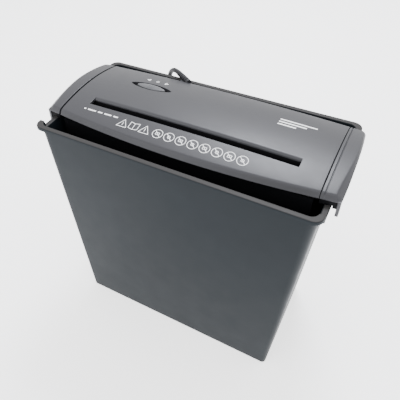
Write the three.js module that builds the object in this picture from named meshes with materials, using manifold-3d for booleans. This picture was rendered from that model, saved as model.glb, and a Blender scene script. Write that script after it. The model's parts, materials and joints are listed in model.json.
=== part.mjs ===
// A strip-cut paper shredder: a crowned cutting head that rests on a tapered basket.
// Millimetres. +X runs to the object's right, +Z up, and the front faces -Y.
// The origin is at the middle of the footprint, on the floor.

import * as THREE from 'three';
import { mergeVertices } from 'three/addons/utils/BufferGeometryUtils.js';
import Module from 'manifold-3d';

const wasm = await Module();
wasm.setup();

// ---------------------------------------------------------------- driving dimensions

// Clearance between pieces that touch or nearly touch.
const GAP = 0.3;

const bin = {
  height: 268, wall: 2, floor: 2.5,
  footHalfX: 123, footHalfY: 62, footCorner: 4.5,
  topHalfX: 142.4, topHalfY: 70.4, topCorner: 9,
  rimHalfX: 146, rimHalfY: 74, rimCorner: 9, rimThick: 2.2, lipDrop: 4, lipThick: 1.2,
  sideDrop: 8, sideHalfY: 62,
};

const seat = bin.height - bin.sideDrop;

const head = {
  seamX: 135, sideX: 150.5, sideRound: 5.5, roundDrop: 5,
  frontY: -53, frontBow: 11, rearY: 63, rearBow: 2.5,
  crestY: 8, crestZ: 278.5, crownRadius: 214, endSag: 2.5,
  bevelFootZ: 266, bevelIn: 3.2, inset: 4, wall: 2.2,
  flangeZ: seat + GAP, flangeThick: 2.2, lowerZ: seat + GAP + 2.2 + GAP, lowerHalfX: 147,
  sideBow: 3.1, sideBowY: -8, skirtInnerX: 146.8, skirtOuterX: 150, skirtZ: seat - 2.4, skirtInset: 0.8,
  tabY: -39.4, tabHalf: 2.6, tabThick: 2.4, tabDrop: 10,
};

const tub = {
  halfX: 131, frontY: -44, rearY: 52, bottomZ: 206, wall: 2, exitHalfX: 108, exitFrontY: -40, exitRearY: 2,
};

const board = { x0: -104, x1: -58, y0: 18, y1: 48, z: 214, thick: 1.6, posts: [[-100, 22], [-62, 44]] };

const slot = {
  halfX: 111, frontY: -24, throatY: -19, lipY: -11.5, lipFootY: -15.2, lipDrop: 3.2,
  collarZ: 264, collarWall: 2.5,
};

const recess = { x: -68, y: 29.3, halfX: 25, halfY: 7, floorZ: 272.6, rimZ: 275.2 };

const knob = { halfX: 17, halfY: 4.6, topZ: 277.6, stemHalfX: 1.5, stemHalfY: 1.1, travel: 6 };

const cordNotch = { x0: -51.5, x1: -38.5, frontY: 57.5, topZ: 270.6 };

// Self-tapping screws, driven up from under the flange into bosses.
const fixing = {
  pilotR: 1.3, holeR: 1.6, headR: 2, headThick: 1.8,
  capBossR: 2.3, coverBossR: 3, bossTop: 271, pilotTop: 269,
  coverX: 100, coverY: 57, capX: 137.3, capY: [-28, 46],
};

const cut = {
  axisZ: 238, frontY: -29, rearY: -9, bladeR: 11, spacerR: 8.3, shaftR: 4,
  bands: 33, bandWidth: 6.5, sideGap: 0.3,
};

const frame = {
  x: 110.2, thick: 1.5, bottomZ: 209, topZ: 258, frontY: -41, leftRearY: 12, rightRearY: 49, rodR: 2.5,
};

const bush = { outerR: 6.5, boreR: 4.15, inner: 109, outer: 113 };

const axle = { r: 1.5, boreR: 1.62 };

// Spur gears: teeth, module, and where each one sits along X.
const gears = {
  sync: { teeth: 20, module: 1, from: -121.3, to: -114.3 },
  main: { teeth: 44, module: 1, from: 114, to: 120.6 },
  secondPinion: { teeth: 11, module: 1, from: 113.8, to: 121.2 },
  secondWheel: { teeth: 44, module: 0.75, from: 121.2, to: 125.2 },
  firstPinion: { teeth: 11, module: 0.75, from: 118, to: 125.2 },
  firstWheel: { teeth: 40, module: 0.6, from: 114, to: 118 },
  motorPinion: { teeth: 10, module: 0.6, from: 113.8, to: 118.2 },
};

const motor = { r: 17, from: 52, to: frame.x - GAP, shaftR: 1.15, boreR: 2.2 };

const cord = { d: 5.2, coilX: -38.5, coilY: 150, coilInner: 21, coilOuter: 37, coilFrom: 0.9, coilTo: 10.8 };

const plug = { y: cord.coilY + 31.6, z: 7, from: 6, neck: 22, to: 56, halfY: 13, halfZ: 6.8, pinOffset: 9.5 };

// ---------------------------------------------------------------- materials

function finish(color, roughness, metalness) {
  return new THREE.MeshStandardMaterial({ color, roughness, metalness });
}

const binPlastic = finish(0x33383d, 0.55, 0);
const headPlastic = finish(0x55575a, 0.6, 0);
const blackPlastic = finish(0x17181a, 0.5, 0);
const gearPlastic = finish(0xe4e1d6, 0.45, 0);
const steel = finish(0xa9abad, 0.35, 1);
const bladeSteel = finish(0x6f7275, 0.3, 1);
const bronze = finish(0x9a7442, 0.45, 1);
const boardGreen = finish(0x1d5a3a, 0.5, 0);
const amber = finish(0xb46a1e, 0.35, 0);
const cordBlack = finish(0x121314, 0.6, 0);

// ---------------------------------------------------------------- shape helpers

function solidOf(geometry) {
  const bare = geometry.clone();
  bare.deleteAttribute('normal');
  bare.deleteAttribute('uv');
  const merged = mergeVertices(bare, 1e-4);
  return new wasm.Manifold(new wasm.Mesh({
    numProp: 3,
    vertProperties: new Float32Array(merged.attributes.position.array),
    triVerts: new Uint32Array(merged.index.array),
  }));
}

function geometryOf(solid) {
  const mesh = solid.getMesh();
  const geometry = new THREE.BufferGeometry();
  geometry.setAttribute('position', new THREE.BufferAttribute(new Float32Array(mesh.vertProperties), 3));
  geometry.setIndex([...mesh.triVerts]);
  geometry.computeVertexNormals();
  return geometry;
}

function join(first, ...others) {
  return geometryOf(others.reduce((whole, other) => whole.add(solidOf(other)), solidOf(first)));
}

function cutFrom(first, ...others) {
  return geometryOf(others.reduce((whole, other) => whole.subtract(solidOf(other)), solidOf(first)));
}

function box(x0, x1, y0, y1, z0, z1) {
  const geometry = new THREE.BoxGeometry(x1 - x0, y1 - y0, z1 - z0);
  return geometry.translate((x0 + x1) / 2, (y0 + y1) / 2, (z0 + z1) / 2);
}

// A flat outline of [u, v] points drawn out along Z.
function prismZ(outline, z0, z1, holes = []) {
  const shape = new THREE.Shape(outline.map(([u, v]) => new THREE.Vector2(u, v)));
  for (const hole of holes) {
    shape.holes.push(new THREE.Path(hole.map(([u, v]) => new THREE.Vector2(u, v))));
  }
  const geometry = new THREE.ExtrudeGeometry(shape, { depth: z1 - z0, bevelEnabled: false });
  return geometry.translate(0, 0, z0);
}

// Turns (u, v, w) into (y, z, x), so that what was drawn along Z runs along X.
const alongX = new THREE.Matrix4().makeBasis(
  new THREE.Vector3(0, 1, 0), new THREE.Vector3(0, 0, 1), new THREE.Vector3(1, 0, 0),
);

// A flat outline of [y, z] points drawn out along X.
function prismX(outline, x0, x1, holes = []) {
  return prismZ(outline, x0, x1, holes).applyMatrix4(alongX);
}

function circle(r, y, z, sides, turn = 0) {
  return Array.from({ length: sides }, (_, i) => {
    const angle = turn + (2 * Math.PI * i) / sides;
    return [y + r * Math.cos(angle), z + r * Math.sin(angle)];
  });
}

function rodX(r, x0, x1, y, z, sides = 16) {
  return prismX(circle(r, y, z, sides), x0, x1);
}

function rodZ(r, x, y, z0, z1, sides = 12) {
  return prismZ(circle(r, x, y, sides), z0, z1);
}

function roundedRectangle(halfX, halfY, corner, steps = 4) {
  const points = [];
  const centres = [[1, 1], [-1, 1], [-1, -1], [1, -1]];
  centres.forEach(([sx, sy], quarter) => {
    for (let i = 0; i <= steps; i += 1) {
      const angle = (quarter + i / steps) * (Math.PI / 2);
      points.push([
        sx * (halfX - corner) + corner * Math.cos(angle), sy * (halfY - corner) + corner * Math.sin(angle),
      ]);
    }
  });
  return points;
}

// A closed skin over rings of equally many points, with a flat cap on each end ring.
function skin(rings, flatten) {
  const count = rings[0].length;
  const index = [];
  for (let r = 0; r + 1 < rings.length; r += 1) {
    for (let i = 0; i < count; i += 1) {
      const here = r * count + i;
      const next = r * count + ((i + 1) % count);
      index.push(here, next, next + count, here, next + count, here + count);
    }
  }
  const last = (rings.length - 1) * count;
  for (const [a, b, c] of THREE.ShapeUtils.triangulateShape(rings[0].map(flatten), [])) {
    index.push(a, c, b);
  }
  for (const [a, b, c] of THREE.ShapeUtils.triangulateShape(rings.at(-1).map(flatten), [])) {
    index.push(last + a, last + b, last + c);
  }
  const geometry = new THREE.BufferGeometry();
  const numbers = rings.flat().flatMap((p) => p.toArray());
  geometry.setAttribute('position', new THREE.Float32BufferAttribute(numbers, 3));
  geometry.setIndex(index);
  return geometry;
}

// Outlines of [x, y] points stacked at rising heights.
function stackZ(levels) {
  const rings = levels.map(([z, outline]) => outline.map(([x, y]) => new THREE.Vector3(x, y, z)));
  return skin(rings, (p) => new THREE.Vector2(p.x, p.y));
}

// Sections of [y, z] points at rising stations along X.
function stackX(stations, section) {
  const rings = stations.map((x) => section(x).map(([y, z]) => new THREE.Vector3(x, y, z)));
  return skin(rings, (p) => new THREE.Vector2(p.y, p.z));
}

function spread(from, to, steps) {
  return Array.from({ length: steps + 1 }, (_, i) => from + ((to - from) * i) / steps);
}

const object = new THREE.Group();

function add(name, geometry, material) {
  const mesh = new THREE.Mesh(geometry, material);
  mesh.name = name;
  object.add(mesh);
}

// ---------------------------------------------------------------- the basket

// Half-sizes of the tapering wall at a height; inset is measured inwards.
function binOutline(z, inset, corner) {
  const share = z / bin.height;
  const halfX = bin.footHalfX + (bin.topHalfX - bin.footHalfX) * share - inset;
  const halfY = bin.footHalfY + (bin.topHalfY - bin.footHalfY) * share - inset;
  return roundedRectangle(halfX, halfY, corner);
}

function basket() {
  const rimOutline = roundedRectangle(bin.rimHalfX, bin.rimHalfY, bin.rimCorner);
  const lipInside = roundedRectangle(
    bin.rimHalfX - bin.lipThick, bin.rimHalfY - bin.lipThick, bin.rimCorner - bin.lipThick,
  );
  const wall = stackZ([
    [0, binOutline(0, 0, bin.footCorner)],
    [bin.height, binOutline(bin.height, 0, bin.topCorner)],
  ]);
  const rim = prismZ(rimOutline, bin.height - bin.rimThick, bin.height);
  const lip = prismZ(rimOutline, bin.height - bin.lipDrop, bin.height - 1, [lipInside]);
  const sideCuts = [-1, 1].map((side) => {
    const edges = [side * (bin.topHalfX - 8), side * (bin.rimHalfX + 2)].sort((a, b) => a - b);
    return box(...edges, -bin.sideHalfY, bin.sideHalfY, seat, bin.height + 1);
  });
  const sideRims = [-1, 1].map((side) => {
    const edges = [side * (bin.topHalfX - bin.wall - 0.6), side * bin.rimHalfX].sort((a, b) => a - b);
    return box(...edges, -bin.sideHalfY - 1, bin.sideHalfY + 1, seat - bin.rimThick, seat);
  });
  const hollowTop = bin.height + 4;
  const hollow = stackZ([
    [bin.floor, binOutline(bin.floor, bin.wall, bin.footCorner - bin.wall)],
    [hollowTop, binOutline(hollowTop, bin.wall, bin.topCorner - bin.wall)],
  ]);
  return cutFrom(join(cutFrom(join(wall, rim, lip), ...sideCuts), ...sideRims), hollow);
}

// ---------------------------------------------------------------- the head's shell

const frontEdge = (x) => head.frontY + head.frontBow * (x / head.sideX) ** 2;
const rearEdge = (x) => head.rearY - head.rearBow * (x / head.sideX) ** 2;

function crown(x, y) {
  const sagAcross = (y - head.crestY) ** 2 / (2 * head.crownRadius);
  const sagAlong = head.endSag * (x / head.sideX) ** 2;
  return head.crestZ - sagAcross - sagAlong;
}

// How far the crown has dropped where the side rounds over.
function sideDropAt(x) {
  const past = Math.max(0, Math.abs(x) - (head.sideX - head.sideRound)) / head.sideRound;
  return head.roundDrop * (1 - Math.sqrt(Math.max(0, 1 - past * past)));
}

const CROWN_STEPS = 10;
const REAR_ROUND = 1.5;

// The crown with its rounded side, kept just above the foot of the front bevel.
const roundedTop = (x, y) => Math.max(crown(x, y) - sideDropAt(x), head.bevelFootZ + 0.8);

// The outside of the head at a station, from the bottom edge at z up and over the crown.
function outerSection(x, bottomZ) {
  const front = frontEdge(x);
  const rear = rearEdge(x);
  const top = spread(rear - REAR_ROUND, front + head.bevelIn, CROWN_STEPS).map((y) => [y, roundedTop(x, y)]);
  return [
    [front + head.inset, bottomZ],
    [rear, bottomZ],
    [rear, roundedTop(x, rear) - REAR_ROUND / 2],
    ...top,
    [front, head.bevelFootZ],
    [front + head.inset, head.bevelFootZ - 0.5],
  ];
}

// The hollow under the crown at a station, one wall thickness inside it.
function innerSection(x) {
  const front = frontEdge(x) + head.inset + head.wall;
  const rear = rearEdge(x) - head.wall;
  const top = spread(rear, front, CROWN_STEPS).map((y) => [y, crown(x, y) - head.wall]);
  return [[front, head.lowerZ - 5], [rear, head.lowerZ - 5], ...top];
}

function ellipse(halfX, halfY, sides = 24) {
  return circle(1, 0, 0, sides).map(([u, v]) => [recess.x + halfX * u, recess.y + halfY * v]);
}

// Above everything in the head, for cuts that open upwards.
const CLEAR_TOP = head.crestZ + 12;

// The rounded rear lip of the slot, from its foot up to the crown; below it the funnel narrows to the throat.
function lipCurve(steps = 5) {
  return Array.from({ length: steps + 1 }, (_, i) => {
    const turn = (i / steps) * (Math.PI / 2);
    const top = crown(0, slot.lipY) + 0.2;
    return [
      slot.lipY + (slot.lipFootY - slot.lipY) * Math.cos(turn),
      top - slot.lipDrop * (1 - Math.sin(turn)),
    ];
  });
}

function topCover() {
  const shell = cutFrom(
    stackX(spread(-head.seamX, head.seamX, 10), (x) => outerSection(x, head.lowerZ)),
    stackX(spread(-head.seamX - 2, head.seamX + 2, 10), innerSection),
  );
  const collarFront = slot.frontY - slot.collarWall;
  const collarRear = slot.lipY + slot.collarWall;
  const underCrown = (y) => crown(slot.halfX, y) - head.wall + 0.5;
  const collar = prismX([
    [collarFront, slot.collarZ], [collarRear, slot.collarZ],
    [collarRear, underCrown(collarRear)], [collarFront, underCrown(collarFront)],
  ], -slot.halfX - slot.collarWall, slot.halfX + slot.collarWall);
  const pan = prismZ(ellipse(recess.halfX + 2, recess.halfY + 2), recess.floorZ - 2, recess.rimZ);
  const bosses = [-1, 1].map((side) => rodZ(
    fixing.coverBossR, side * fixing.coverX, fixing.coverY, head.lowerZ, fixing.bossTop,
  ));
  const throat = prismX([
    [slot.frontY, slot.collarZ - 1], [slot.throatY, slot.collarZ - 1], ...lipCurve(),
    [slot.lipY, CLEAR_TOP], [slot.frontY, CLEAR_TOP],
  ], -slot.halfX, slot.halfX);
  const well = prismZ(ellipse(recess.halfX, recess.halfY), recess.floorZ, CLEAR_TOP);
  const stemSlotX = knob.travel + knob.stemHalfX + 1.5;
  const stemSlotY = knob.stemHalfY + 0.4;
  const stemSlot = box(
    recess.x - stemSlotX, recess.x + stemSlotX, recess.y - stemSlotY, recess.y + stemSlotY,
    recess.floorZ - 3, recess.floorZ + 1,
  );
  const notch = box(
    cordNotch.x0, cordNotch.x1, cordNotch.frontY, head.rearY + 5, head.lowerZ - 2, cordNotch.topZ,
  );
  const pilots = [-1, 1].map((side) => rodZ(
    fixing.pilotR, side * fixing.coverX, fixing.coverY, head.lowerZ - 1, fixing.pilotTop,
  ));
  return cutFrom(join(shell, collar, pan, ...bosses), throat, well, stemSlot, notch, ...pilots);
}

// The cap's end swells outwards between the front and the rear.
function swell(x, y) {
  const start = head.seamX + 0.5;
  const share = Math.min(1, Math.max(0, (x - start) / (head.sideX - start)));
  const along = (y - head.sideBowY) / (head.rearY - head.rearBow - head.sideBowY);
  return x + share * head.sideBow * Math.max(0, 1 - along ** 2);
}

function swollen(solid) {
  const place = solid.attributes.position;
  for (let i = 0; i < place.count; i += 1) {
    place.setX(i, swell(place.getX(i), place.getY(i)));
  }
  return solid;
}

// The right end cap; the left one is its mirror image.
function endCap() {
  const inner = head.seamX + 0.5;
  const stations = [inner, 140, 145, 147, 148.5, 149.6, 150.2, head.sideX];
  const upper = stackX(stations, (x) => outerSection(x, head.bevelFootZ - 0.5));
  const lower = prismZ([
    ...spread(inner, head.skirtOuterX, 3).map((x) => [x, frontEdge(x) + head.inset]),
    ...spread(head.skirtOuterX, inner, 3).map((x) => [x, rearEdge(x)]),
  ], head.lowerZ, head.bevelFootZ);
  const brow = prismZ([
    ...spread(inner, head.skirtInnerX + 1, 3).map((x) => [x, frontEdge(x) + head.skirtInset]),
    ...spread(head.skirtInnerX + 1, inner, 3).map((x) => [x, frontEdge(x) + head.inset]),
  ], seat + GAP, head.bevelFootZ);
  const skirtFront = frontEdge(head.skirtOuterX) + head.skirtInset;
  const skirtRear = rearEdge(head.skirtOuterX) - head.skirtInset;
  const skirt = prismZ([
    [head.skirtInnerX, skirtFront],
    ...spread(skirtFront, skirtRear, 8).map((y) => [swell(head.skirtOuterX, y), y]),
    [head.skirtInnerX, skirtRear],
  ], head.skirtZ, head.bevelFootZ);
  const hollow = stackX(spread(inner - 2, head.lowerHalfX - 2, 3), innerSection);
  const tab = box(
    head.sideX - head.tabThick, head.sideX, head.tabY - head.tabHalf, head.tabY + head.tabHalf,
    seat - head.tabDrop, head.bevelFootZ + 1,
  );
  const shell = cutFrom(join(swollen(join(upper, lower, tab)), skirt, brow), hollow);
  const upright = (radius, bottomZ, topZ) => fixing.capY.map(
    (y) => rodZ(radius, fixing.capX, y, bottomZ, topZ),
  );
  const bosses = upright(fixing.capBossR, head.lowerZ, fixing.bossTop);
  const pilots = upright(fixing.pilotR, head.lowerZ - 1, fixing.pilotTop);
  return cutFrom(join(shell, ...bosses), ...pilots);
}

function mirrorX(geometry) {
  const mirrored = geometry.clone().scale(-1, 1, 1);
  const index = [...mirrored.index.array];
  for (let i = 0; i < index.length; i += 3) {
    [index[i], index[i + 1]] = [index[i + 1], index[i]];
  }
  mirrored.setIndex(index);
  mirrored.computeVertexNormals();
  return mirrored;
}

// The tub that hangs in the basket, with the flange that the shell stands on.
function headBase() {
  const flangeHalf = head.lowerHalfX - 0.5;
  const frontLine = spread(-flangeHalf, flangeHalf, 10).map((x) => [x, frontEdge(x) + head.inset + GAP]);
  const rearLine = spread(flangeHalf, -flangeHalf, 10).map((x) => [x, rearEdge(x) - GAP]);
  const flange = prismZ([...frontLine, ...rearLine], head.flangeZ, head.lowerZ - GAP);
  const body = box(-tub.halfX, tub.halfX, tub.frontY, tub.rearY, tub.bottomZ, head.lowerZ - GAP);
  const hollow = box(
    -tub.halfX + tub.wall, tub.halfX - tub.wall, tub.frontY + tub.wall, tub.rearY - tub.wall,
    tub.bottomZ + tub.wall, head.lowerZ + 5,
  );
  const exit = box(
    -tub.exitHalfX, tub.exitHalfX, tub.exitFrontY, tub.exitRearY, tub.bottomZ - 1, tub.bottomZ + tub.wall + 1,
  );
  const hole = (x, y) => rodZ(fixing.holeR, x, y, head.flangeZ - 1, head.lowerZ + 1);
  const screwHoles = [-1, 1].flatMap((side) => [
    ...fixing.capY.map((y) => hole(side * fixing.capX, y)), hole(side * fixing.coverX, fixing.coverY),
  ]);
  const posts = board.posts.map(([x, y]) => rodZ(3, x, y, tub.bottomZ + 1, board.z - 0.4));
  return join(cutFrom(join(flange, body), hollow, exit, ...screwHoles), ...posts);
}

// A screw up through the flange, with its head just under it.
function screw(x, y) {
  const headTop = head.flangeZ - GAP;
  const shank = rodZ(fixing.pilotR - 0.1, x, y, headTop - 0.8, fixing.pilotTop - 0.5);
  return join(shank, rodZ(fixing.headR, x, y, headTop - fixing.headThick, headTop));
}

// ---------------------------------------------------------------- the cutting block

const rearAxis = { y: cut.rearY, z: cut.axisZ };
const frontAxis = { y: cut.frontY, z: cut.axisZ };

// The centre of a gear that meshes with one at a known centre, in a given direction.
function meshedWith(axis, radius, otherRadius, angle) {
  const distance = radius + otherRadius;
  return { y: axis.y + distance * Math.cos(angle), z: axis.z + distance * Math.sin(angle) };
}

const degrees = (angle) => (angle * Math.PI) / 180;
const pitchRadius = (gear) => (gear.teeth * gear.module) / 2;

const toSecond = degrees(-15);
const toFirst = degrees(35);
const toMotor = degrees(-100);
const secondAxis = meshedWith(rearAxis, pitchRadius(gears.main), pitchRadius(gears.secondPinion), toSecond);
const firstAxis = meshedWith(
  secondAxis, pitchRadius(gears.secondWheel), pitchRadius(gears.firstPinion), toFirst,
);
const motorAxis = meshedWith(
  firstAxis, pitchRadius(gears.firstWheel), pitchRadius(gears.motorPinion), toMotor,
);

// A spur gear with one tooth centred on the angle; flanks are straight, with room for backlash.
function spurGear(gear, axis, toothAngle, boreR) {
  const pitch = (2 * Math.PI) / gear.teeth;
  const tip = pitchRadius(gear) + 0.85 * gear.module;
  const root = pitchRadius(gear) - 1.15 * gear.module;
  const outline = [];
  for (let i = 0; i < gear.teeth; i += 1) {
    const middle = toothAngle + i * pitch;
    const corners = [[root, -0.3], [tip, -0.1], [tip, 0.1], [root, 0.3]];
    for (const [r, share] of corners) {
      const angle = middle + share * pitch;
      outline.push([axis.y + r * Math.cos(angle), axis.z + r * Math.sin(angle)]);
    }
  }
  return prismX(outline, gear.from, gear.to, [circle(boreR, axis.y, axis.z, 16)]);
}

// The tooth angle that puts a gap of this gear on the line to the gear that drives it.
const gapTowards = (gear, angle) => angle + Math.PI + Math.PI / gear.teeth;

// A shaft with blades and spacers turned in one profile; blades stand on every second band.
function bladeShaft(axis, firstBand, fromX, toX) {
  const start = -(cut.bands * cut.bandWidth) / 2;
  const profile = [[0, fromX], [cut.shaftR, fromX], [cut.shaftR, start], [cut.spacerR, start]];
  for (let band = firstBand; band < cut.bands; band += 2) {
    const low = start + band * cut.bandWidth + cut.sideGap;
    const high = low + cut.bandWidth - 2 * cut.sideGap;
    profile.push([cut.spacerR, low], [cut.bladeR, low], [cut.bladeR, high], [cut.spacerR, high]);
  }
  profile.push([cut.spacerR, -start], [cut.shaftR, -start], [cut.shaftR, toX], [0, toX]);
  const points = profile.map(([r, along]) => new THREE.Vector2(r, along));
  const turned = new THREE.LatheGeometry(points, 14);
  return turned.rotateZ(-Math.PI / 2).translate(0, axis.y, axis.z);
}

function plateHoles(axes) {
  return axes.map((axis) => circle(bush.outerR + 0.1, axis.y, axis.z, 16));
}

const tieRods = { front: { y: -37.5, z: 252.5 }, rear: { y: 6, z: 252.5 } };

function sidePlate(side, rearY, extraHoles) {
  const outline = [
    [frame.frontY, frame.bottomZ], [rearY, frame.bottomZ], [rearY, frame.topZ], [frame.frontY, frame.topZ],
  ];
  const rods = Object.values(tieRods).map((rod) => circle(frame.rodR + 0.1, rod.y, rod.z, 12));
  const edges = [side * frame.x, side * (frame.x + frame.thick)].sort((a, b) => a - b);
  return prismX(outline, ...edges, [...plateHoles([frontAxis, rearAxis]), ...rods, ...extraHoles]);
}

function cutterBush(side, axis) {
  const edges = [side * bush.inner, side * bush.outer].sort((a, b) => a - b);
  return prismX(circle(bush.outerR, axis.y, axis.z, 16), ...edges, [circle(bush.boreR, axis.y, axis.z, 16)]);
}

const comb = {
  near: -1, far: 9, halfX: 109.5, barFootZ: 220.5, barTopZ: 224.5, fingerTopZ: 229, fingerHalf: 2,
};

// A comb whose fingers stand between the blades and lift the strips out; towards is +1 for the rear one.
function stripperComb(axis, firstBand, towards) {
  const near = axis.y + towards * comb.near;
  const far = axis.y + towards * comb.far;
  const edges = [near, far].sort((a, b) => a - b);
  const start = -(cut.bands * cut.bandWidth) / 2;
  const fingers = [];
  for (let band = firstBand; band < cut.bands; band += 2) {
    const middle = start + (band + 0.5) * cut.bandWidth;
    fingers.push(box(
      middle - comb.fingerHalf, middle + comb.fingerHalf, ...edges, comb.barTopZ - 0.5, comb.fingerTopZ,
    ));
  }
  return join(box(-comb.halfX, comb.halfX, ...edges, comb.barFootZ, comb.barTopZ), ...fingers);
}

const sensorAxis = { y: -11, z: 260.5 };
const sensorHub = { pinR: 1, boreR: 1.1, outerR: 2.1, half: 3, earInner: 4, earOuter: 6, pinHalf: 7.5 };

const guide = {
  halfX: 109.5, thick: 1.2, topZ: 263.4, footZ: 250.6,
  frontTopY: -26.4, frontFootY: -22.1, rearTopY: -18.8, rearFootY: -18.2,
};

// A sheet that leads the paper from the slot down to the cutters, from one [y] at the top to one at the foot.
function guideSheet(topY, footY) {
  return prismX([
    [topY, guide.topZ], [footY, guide.footZ],
    [footY + guide.thick, guide.footZ], [topY + guide.thick, guide.topZ],
  ], -guide.halfX, guide.halfX);
}

// The rear sheet has a window for the sensor lever and two ears that carry its pin.
function rearGuide() {
  const sheet = guideSheet(guide.rearTopY, guide.rearFootY);
  const window = box(-3.5, 3.5, guide.rearTopY - 3, guide.rearFootY + 3, guide.footZ + 1.4, guide.topZ - 1);
  const ears = [-1, 1].map((side) => {
    const edges = [side * sensorHub.earInner, side * sensorHub.earOuter].sort((a, b) => a - b);
    return box(...edges, guide.rearFootY, sensorAxis.y + 2.4, sensorAxis.z - 2.5, sensorAxis.z + 2.5);
  });
  const pinHole = rodX(sensorHub.pinR + 0.08, -10, 10, sensorAxis.y, sensorAxis.z, 12);
  return cutFrom(join(cutFrom(sheet, window), ...ears), pinHole);
}

function sensorLever() {
  const { y, z } = sensorAxis;
  const half = sensorHub.half / 2;
  const arm = prismX([
    [y - 11.2, z - 3.7], [y - 1, z - 1.9], [y - 1, z + 1.5], [y - 11.4, z - 2.5],
  ], -half, half);
  const heel = prismX([[y, z - 1.3], [y + 7, z - 1.5], [y + 7, z - 0.3], [y, z + 1.5]], -half, half);
  const hub = rodX(sensorHub.outerR, -sensorHub.half, sensorHub.half, y, z, 12);
  const bore = rodX(sensorHub.boreR, -sensorHub.earInner, sensorHub.earInner, y, z, 12);
  return cutFrom(join(hub, arm, heel), bore);
}

// ---------------------------------------------------------------- switch, cord and plug

const switchTop = 268.6;

function switchKnob() {
  const cap = prismZ(ellipse(knob.halfX, knob.halfY, 20), recess.floorZ + GAP, knob.topZ);
  const stem = box(
    recess.x - knob.stemHalfX, recess.x + knob.stemHalfX,
    recess.y - knob.stemHalfY, recess.y + knob.stemHalfY,
    switchTop - 2.1, recess.floorZ + 1.4,
  );
  return join(cap, stem);
}

function switchBody() {
  const block = (halfX, halfY, bottomZ, topZ) => box(
    recess.x - halfX, recess.x + halfX, recess.y - halfY, recess.y + halfY, bottomZ, topZ,
  );
  const body = block(16, 5.5, switchTop - 10.6, switchTop);
  const well = block(9.5, 1.6, switchTop - 2.6, switchTop + 1);
  return cutFrom(body, well);
}

// The lead leaves the back of the head, clears the rear rim, drops behind the basket and lies on the floor.
const reliefStart = [-43, 65.7, 270.6];
const reliefEnd = [-60.1, 75.9, 272.4];
const leadRoute = [
  reliefEnd, [-63.5, 77.9, 272.4], [-68.3, 80.8, 270.9], [-72.9, 83.5, 267.2], [-76, 85.4, 261.8],
  [-77.4, 86.3, 255], [-77.6, 87.1, 242], [-77.2, 88.6, 216], [-76.5, 90.4, 186], [-75.6, 92, 155],
  [-74.6, 93.3, 124], [-73.6, 94.4, 96], [-72.9, 95.2, 70], [-72.7, 96.6, 46], [-72.7, 100.3, 27],
  [-72.7, 106.9, 12.8], [-72.7, 116.4, 5.2], [-72.7, 129, 3.5],
];
const tailRoute = [[-14, plug.y, 8], [-7, plug.y, 7.6], [0, plug.y, 7.2], [plug.from - GAP, plug.y, plug.z]];

function leadTube(route, steps) {
  const curve = new THREE.CatmullRomCurve3(route.map((p) => new THREE.Vector3(...p)));
  const round = new THREE.Shape(circle(cord.d / 2, 0, 0, 8).map(([u, v]) => new THREE.Vector2(u, v)));
  return new THREE.ExtrudeGeometry(round, { steps, extrudePath: curve, bevelEnabled: false });
}

// A block that fills the notch in the rear wall, with a tapered sleeve out to where the bare lead starts.
function strainRelief() {
  const start = new THREE.Vector3(...reliefStart);
  const end = new THREE.Vector3(...reliefEnd);
  const along = end.clone().sub(start);
  const length = along.length() - GAP;
  const sleeve = new THREE.CylinderGeometry(cord.d / 2 + 0.1, cord.d / 2 + 0.3, length, 12);
  sleeve.translate(0, length / 2, 0);
  sleeve.applyQuaternion(new THREE.Quaternion().setFromUnitVectors(new THREE.Vector3(0, 1, 0), along.normalize()));
  sleeve.translate(...reliefStart);
  const block = box(
    cordNotch.x0 + GAP, cordNotch.x1 - GAP, cordNotch.frontY + 0.5, reliefStart[1] + 0.7,
    head.lowerZ, cordNotch.topZ - GAP,
  );
  return join(block, sleeve);
}

function coilRing() {
  const profile = [
    [cord.coilInner, cord.coilFrom], [cord.coilOuter, cord.coilFrom],
    [cord.coilOuter, cord.coilTo], [cord.coilInner, cord.coilTo], [cord.coilInner, cord.coilFrom],
  ].map(([r, z]) => new THREE.Vector2(r, z));
  return new THREE.LatheGeometry(profile, 28).rotateX(Math.PI / 2).translate(cord.coilX, cord.coilY, 0);
}

// A flat strap wrapped once round the coil.
function coilTie() {
  const x0 = cord.coilX + cord.coilInner - 3 * GAP;
  const x1 = cord.coilX + cord.coilOuter + GAP;
  const strap = 0.55;
  const halfWidth = 3;
  const underside = 0.05;
  const outer = box(
    x0 - strap, x1 + strap, cord.coilY - halfWidth, cord.coilY + halfWidth, underside, cord.coilTo + GAP + strap,
  );
  const inner = box(
    x0, x1, cord.coilY - halfWidth - 1, cord.coilY + halfWidth + 1, underside + strap, cord.coilTo + GAP,
  );
  return cutFrom(outer, inner);
}

// Sections of the flat two-pin plug, from the lead to the pin face.
function plugBody() {
  const levels = [[plug.from, 3.4, 3.4, 3.3], [plug.neck, 5.2, 4.6, 4.5], [plug.neck + 6, 9, 6, 5.5],
    [plug.neck + 12, plug.halfY, plug.halfZ, 6], [plug.to, plug.halfY - 0.6, plug.halfZ - 0.5, 5.6]];
  const rings = levels.map(([x, halfY, halfZ, corner]) => roundedRectangle(halfY, halfZ, corner, 3)
    .map(([u, v]) => new THREE.Vector3(x, plug.y + u, plug.z + v)));
  return skin(rings, (p) => new THREE.Vector2(p.y, p.z));
}

// ---------------------------------------------------------------- assembly

add('bin', basket(), binPlastic);

const rightCap = endCap();
add('top_cover', topCover(), headPlastic);
add('right_end_cap', rightCap, headPlastic);
add('left_end_cap', mirrorX(rightCap), headPlastic);
add('head_base', headBase(), blackPlastic);
for (const [side, word] of [[-1, 'left'], [1, 'right']]) {
  fixing.capY.forEach((y, i) => {
    add(`${word}_cap_screw_${i + 1}`, screw(side * fixing.capX, y), steel);
  });
  add(`${word}_cover_screw`, screw(side * fixing.coverX, fixing.coverY), steel);
}

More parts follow.
